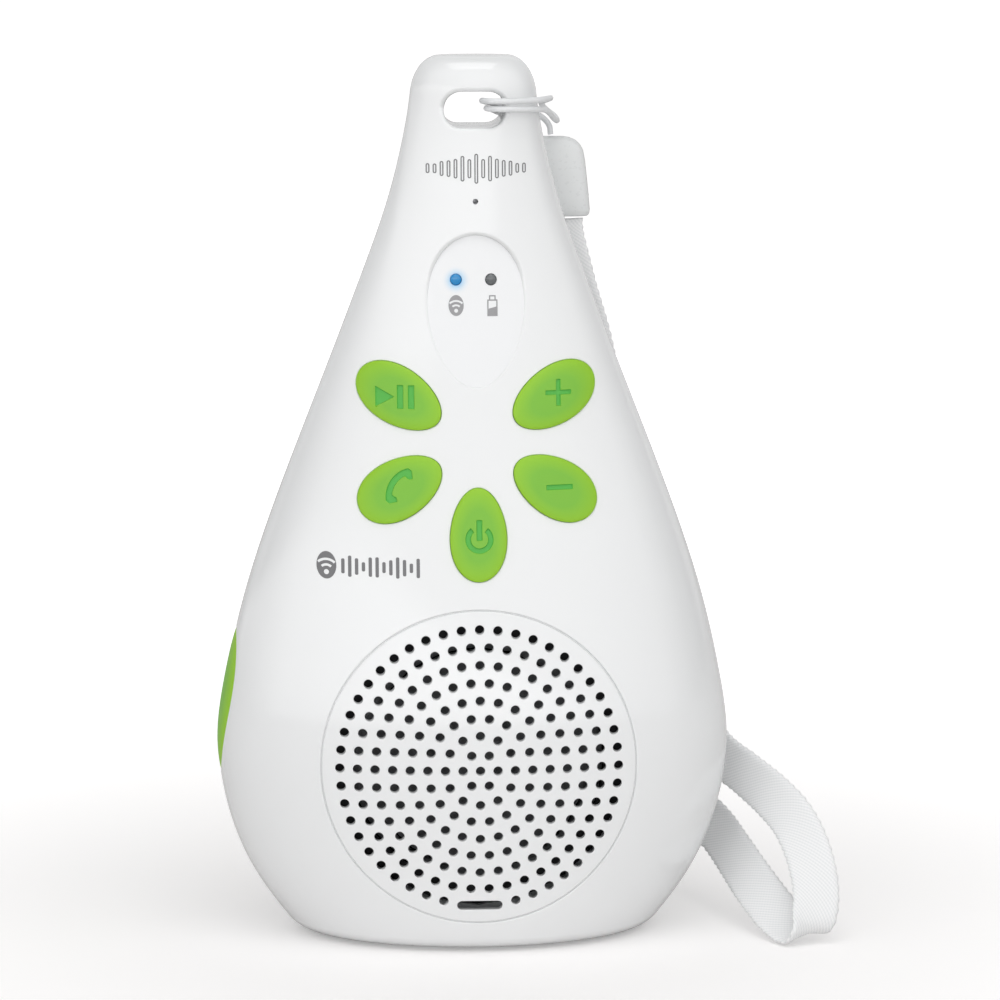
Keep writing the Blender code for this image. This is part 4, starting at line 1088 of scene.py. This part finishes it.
STRAP_ROUTE = (  # centre, direction of the width
    ((15.1, 9.1, 119.6), (1.0, 0.0, 0.0)), ((15.3, 9.1, 117.0), (1.0, 0.0, 0.05)),
    ((16.3, 9.5, 113.0), (1.0, 0.0, 0.2)), ((17.9, 10.6, 107.0), (1.0, -0.1, 0.24)),
    ((20.6, 13.0, 98.0), (1.0, -0.15, 0.28)), ((23.0, 16.2, 86.0), (1.0, -0.2, 0.3)),
    ((25.2, 19.6, 73.0), (1.0, -0.2, 0.3)), ((27.6, 22.4, 59.0), (1.0, -0.2, 0.35)),
    ((31.4, 22.6, 46.0), (0.8, -0.3, 0.6)), ((37.0, 18.8, 34.6), (0.5, -0.3, 0.85)),
    ((43.0, 12.4, 27.2), (0.25, -0.1, 0.96)), ((47.4, 6.0, 24.2), (0.3, 0.0, 0.95)),
    ((51.0, -0.4, 21.8), (0.45, 0.1, 0.85)), ((54.0, -6.4, 18.8), (0.65, 0.1, 0.65)),
    ((56.0, -11.4, 14.2), (0.8, 0.1, 0.45)), ((56.8, -15.2, 8.8), (0.88, 0.2, 0.25)),
    ((56.0, -17.4, 4.1), (0.9, 0.3, 0.22)), ((54.2, -16.4, 2.0), (0.9, 0.3, 0.24)),
    ((51.8, -13.0, 3.1), (0.78, 0.3, 0.5)), ((49.4, -8.2, 5.4), (0.7, 0.2, 0.62)),
    ((47.0, -2.0, 8.2), (0.64, 0.1, 0.72)), ((45.0, 5.0, 10.8), (0.58, 0.0, 0.78)),
    ((42.8, 12.4, 13.4), (0.55, 0.0, 0.8)), ((38.6, 20.0, 17.0), (0.55, -0.1, 0.78)),
    ((31.4, 26.6, 24.4), (0.7, -0.2, 0.65)), ((23.0, 29.6, 36.0), (0.9, -0.2, 0.4)),
    ((16.4, 28.6, 50.0), (1.0, -0.1, 0.2)), ((12.4, 25.4, 64.0), (1.0, 0.0, 0.1)),
    ((10.8, 21.4, 78.0), (1.0, 0.0, 0.0)), ((11.0, 17.2, 92.0), (1.0, 0.0, -0.05)),
    ((12.6, 13.4, 105.0), (1.0, 0.0, -0.05)), ((14.4, 11.1, 116.4), (1.0, 0.0, 0.0)),
    ((14.6, 10.9, 119.6), (1.0, 0.0, 0.0)),
)


def through(points, per_span):
    """A smooth line through the points: Catmull-Rom, with per_span steps to each span."""
    points = np.array(points, float)
    ends = np.vstack([2 * points[0] - points[1], points, 2 * points[-1] - points[-2]])
    line = []
    for before, a, b, after in zip(ends, ends[1:], ends[2:], ends[3:]):
        square, cube = 2 * before - 5 * a + 4 * b - after, 3 * a - before - 3 * b + after
        for i in range(per_span):
            t = i / per_span
            line.append(0.5 * (2 * a + (b - before) * t + square * t * t + cube * t**3))
    return np.array(line + [points[-1]])


def length_of(line):
    return float(np.linalg.norm(np.diff(line, axis=0), axis=1).sum())


def even(line, step, other):
    """The line and another one along it at equal steps, and how far along each point is."""
    run = np.concatenate([[0], np.cumsum(np.linalg.norm(np.diff(line, axis=0), axis=1))])
    places = np.linspace(0, run[-1], int(run[-1] / step) + 1)
    both = (np.stack([np.interp(places, run, axis) for axis in one.T], axis=-1) for one in (line, other))
    return (*both, places)


def lanyard_cord():
    line = through(CORD_ROUTE, 8)
    data = bpy.data.curves.new("lanyard", "CURVE")
    data.dimensions = "3D"
    data.bevel_depth = CORD_DIAMETER / 2 * MM
    data.bevel_resolution = 4
    data.use_fill_caps = True
    spline = data.splines.new("POLY")
    spline.points.add(len(line) - 1)
    for point, place in zip(spline.points, line):
        point.co = (*(place * MM), 1.0)
    return dress(placed("lanyard", data), "nylon_cord", replaces=["lanyard_cord"]), line


YARN_COLUMNS, PICK = 25, 0.78  # yarns across one face, and the pitch of the picks along it, mm
WEAVE_RELIEF, EDGE_NOTCH = 0.08, 0.09  # mm


def tube_faces(index):
    """The sides and both ends of a tube; index[i, k] is point i of ring k."""
    after = np.roll(index, -1, axis=0)
    sides = np.stack([index[:, :-1], after[:, :-1], after[:, 1:], index[:, 1:]], axis=-1)
    return [tuple(f) for f in sides.reshape(-1, 4)] + [tuple(index[:, 0]), tuple(index[::-1, -1])]


def wrist_strap():
    """Woven webbing: two layers of yarn columns, crossed by picks that notch the edges."""
    line = through([place for place, _ in STRAP_ROUTE], 16)
    wide = through([across for _, across in STRAP_ROUTE], 16)
    line, wide, run = even(line, PICK / 4, wide)
    ahead = np.gradient(line, axis=0)
    ahead /= np.linalg.norm(ahead, axis=1)[:, None]
    wide = wide - ahead * np.sum(wide * ahead, axis=1)[:, None]
    wide /= np.linalg.norm(wide, axis=1)[:, None]
    face = np.cross(ahead, wide)
    shares = np.linspace(-1, 1, YARN_COLUMNS)
    loop = [(s, 1) for s in shares] + [(s, -1) for s in shares[::-1]]
    points, hollow = [], []
    for s, side in loop:
        edge = 1 - abs(s) ** 12
        phase = 2 * math.pi * (run / PICK + 0.5 * round(abs(s) * 12))
        weave = 0.5 + 0.5 * np.cos(phase)
        notch = EDGE_NOTCH * np.cos(math.pi * run / PICK) * abs(s) ** 8
        out = side * (STRAP_THICK / 2 * (0.35 + 0.65 * edge) - WEAVE_RELIEF + WEAVE_RELIEF * weave)
        reach = s * (STRAP_WIDTH / 2 - 0.1) + math.copysign(1, s) * notch
        points.append(line + wide * reach[:, None] + face * out[:, None])
        hollow.append(1 - weave)
    index = np.arange(len(loop) * len(line)).reshape(len(loop), len(line))
    made = mesh_piece("strap_webbing", np.array(points).reshape(-1, 3), tube_faces(index), 180)
    painted(made, "hollow", hollow)
    return dress(made, "webbing", replaces=["wrist_strap"]), line


CAP_RINGS = (  # height, half width and half depth of each ring round the strap's cap
    (-6.4, 5.3, 2.0), (-6.38, 5.7, 2.4), (-6.1, 6.0, 2.7), (-5.4, 6.18, 2.88), (-3.0, 6.05, 2.88),
    (0.0, 5.85, 2.82), (3.0, 5.6, 2.75), (4.6, 5.35, 2.62), (5.6, 4.9, 2.42), (6.3, 4.2, 2.1),
    (6.75, 3.3, 1.7), (6.95, 2.4, 1.3), (7.0, 1.2, 0.7),
)
CAP_MIDDLE, CAP_LEAN = (13.9, 10.0, 126.6), 0.03


def strap_cap():
    """The moulded cap that joins the thin cord to the webbing: soft corners all round."""
    steps, points = 64, []
    for height, wide, deep in CAP_RINGS:
        for i in range(steps):
            turn = 2 * math.pi * (i + 0.5) / steps
            cos, sin = math.cos(turn), math.sin(turn)
            across = wide * math.copysign(abs(cos) ** 0.5, cos) - CAP_LEAN * height
            along = deep * math.copysign(abs(sin) ** 0.5, sin)
            points.append(np.array(CAP_MIDDLE) + (across, along, height))
    faces = tube_faces(np.arange(len(points)).reshape(len(CAP_RINGS), steps).T)
    return dress(mesh_piece("strap_end_cap", points, faces, 50), "cap_plastic", replaces=["strap_cap"])


def strap():
    cap = strap_cap()
    cord, route = lanyard_cord()
    length_of(route) * MM
    webbing, line = wrist_strap()
    length_of(line) * MM
    [tuple(p * MM) for p in line[::4]]


# ---------------------------------------------------------------- rear screws and kept nodes
def screw_sleeves():
    """The wells in the rear shell that the screws sit in."""
    for number, node in enumerate(SCREW_NODES, 1):
        x, _, z = middle(node)
        back, foot = float(skin_y(x, z, 1)) - WELL_REACH, SCREW_SEAT - WELL_FLOOR
        profile = [(SCREW_BORE, back), (SCREW_BORE, SCREW_SEAT), (SCREW_SHANK, SCREW_SEAT),
                   (SCREW_SHANK, foot), (WELL_RADIUS, foot), (WELL_RADIUS, back), (SCREW_BORE, back)]
        dress(spun(f"screw_well_{number}", profile, x, z), "gloss_white")


def kept_nodes():
    """Better finishes on the CAD nodes that stay, by the record's slot of each node."""
    for part in frame["record"]["subparts"]:
        piece = frame["nodes"][part["node"]]
        piece.data.materials.clear()
        piece.data.materials.append(FINISHES[part["material_slot"]].material)


# ---------------------------------------------------------------- camera, lights, floor
CAMERA_AIM = Vector((0, 0, 0.073))
CAMERA_AZIMUTH, CAMERA_ELEVATION, CAMERA_DISTANCE = math.radians(-3), math.radians(9), 0.82
CAMERA_LENS, CAMERA_SHIFT = 175.6, (0.027, 0.0015)


def aimed(made, place, aim):
    made.location = place
    made.rotation_euler = (Vector(aim) - Vector(place)).to_track_quat("-Z", "Y").to_euler()


def camera():
    data = bpy.data.cameras.new("camera")
    data.sensor_width, data.lens = 36.0, CAMERA_LENS
    data.shift_x, data.shift_y = CAMERA_SHIFT
    data.clip_start, data.clip_end = 0.05, 20.0
    made = placed("camera", data)
    across, ahead = math.sin(CAMERA_AZIMUTH), -math.cos(CAMERA_AZIMUTH)
    flat, rise = math.cos(CAMERA_ELEVATION), math.sin(CAMERA_ELEVATION)
    way = Vector((across * flat, ahead * flat, rise))
    aimed(made, CAMERA_AIM + CAMERA_DISTANCE * way, CAMERA_AIM)
    bpy.context.scene.camera = made


def top_box():
    data = bpy.data.lights.new("top_box", "AREA")
    data.shape = "RECTANGLE"
    data.size, data.size_y = 0.7, 0.5
    data.energy = 1.6
    aimed(placed("top_box", data), (0, -0.2, 1.1), (0, 0, 0.07))


def floor():
    """A pale sheet that glows a little, like a light table, so that it fades out to white. Its glow is
    painted light that only the camera sees, weaker near the middle: a painted shadow round the object.
    """
    data = bpy.data.meshes.new("floor")
    data.from_pydata([(-6, -6, 0), (6, -6, 0), (6, 6, 0), (-6, 6, 0)], [], [(0, 1, 2, 3)])
    finish = Finish("floor_paper")
    finish.shader.inputs["Emission Color"].default_value = (1, 1, 1, 1)
    seen = finish.node("ShaderNodeLightPath").outputs["Is Camera Ray"]
    reach = finish.vector("LENGTH", finish.place)
    # Painted shadow: the glow falls from 0.56 far off to 0.28 near the object's foot.
    glow = finish.maths("MULTIPLY", finish.ramp(reach, 0.05, 0.2, 0.28, 0.56), seen)
    finish.links.new(glow, finish.shader.inputs["Emission Strength"])
    finish.colour(finish.mix(finish.noise(6.0), (0.80, 0.785, 0.78, 1), (0.82, 0.805, 0.80, 1)))
    finish.rough(finish.noise(40.0), 0.55, 0.65)
    data.materials.append(finish.material)
    placed("floor", data)


# Brightness of the studio's walls, from in front of the object (0) to behind it (1).
WALLS = ((0.0, 1.64), (0.3, 1.32), (0.44, 0.64), (0.54, 0.24), (0.72, 0.3), (0.82, 0.85), (1.0, 0.9))
WALL_LIGHT = 0.99
LEFT_WALL = 0.8  # share of the light that is left at the far left
SOFTBOX_EDGE, SOFTBOX_LIGHT = (-0.236, -0.201, -0.951), 1.1  # the way its lit side faces, its light


def studio():
    """White behind the object, brighter walls in front and darker ones at the sides."""
    world = bpy.data.worlds.new("studio")
    world.use_nodes = True
    tree = Tree(world.node_tree)
    way = tree.node("ShaderNodeTexCoord").outputs["Generated"]
    x, y, z = tree.feed(tree.node("ShaderNodeSeparateXYZ"), way).outputs
    share = tree.maths("ADD", tree.maths("MULTIPLY", y, 0.5), 0.5)
    walls = tree.feed(tree.node("ShaderNodeValToRGB"), share)
    walls.color_ramp.interpolation = "EASE"
    for number, (place, light) in enumerate(WALLS):
        stops = walls.color_ramp.elements
        stop = stops[number] if number < 2 else stops.new(place)
        stop.position = place
        stop.color = (light, light, light, 1)
    edge = tree.ramp(tree.vector("DOT_PRODUCT", way, SOFTBOX_EDGE), -0.01, 0.03)
    box = tree.maths("MULTIPLY", tree.maths("MULTIPLY", edge, tree.ramp(z, -0.08, 0.1)), SOFTBOX_LIGHT)
    light = tree.maths("ADD", walls.outputs["Color"], box)
    light = tree.maths("MULTIPLY", light, tree.ramp(x, -1.0, 0.1, LEFT_WALL, 1.0))
    seen, lit = tree.nodes["Background"], tree.node("ShaderNodeBackground")
    seen.inputs["Color"].default_value = (1, 1, 1, 1)
    tree.links.new(tree.maths("MULTIPLY", light, WALL_LIGHT), lit.inputs["Strength"])
    direct = tree.node("ShaderNodeLightPath").outputs["Is Camera Ray"]
    blend = tree.feed(tree.node("ShaderNodeMixShader"), direct, lit.outputs[0], seen.outputs[0])
    tree.links.new(blend.outputs["Shader"], tree.nodes["World Output"].inputs["Surface"])
    bpy.context.scene.world = world
    bpy.context.scene.view_settings.view_transform = "Standard"


# ---------------------------------------------------------------- the object
camera()
studio()
top_box()
floor()
strap()
front_shell()
rear_shell()
seats()
speaker_grille()
status_window()
lens("link_lens", LINK_X)
lens("charge_lens", CHARGE_X)
for name in BUTTONS:
    button(name)
marks()
port_door()
screw_sleeves()
kept_nodes()
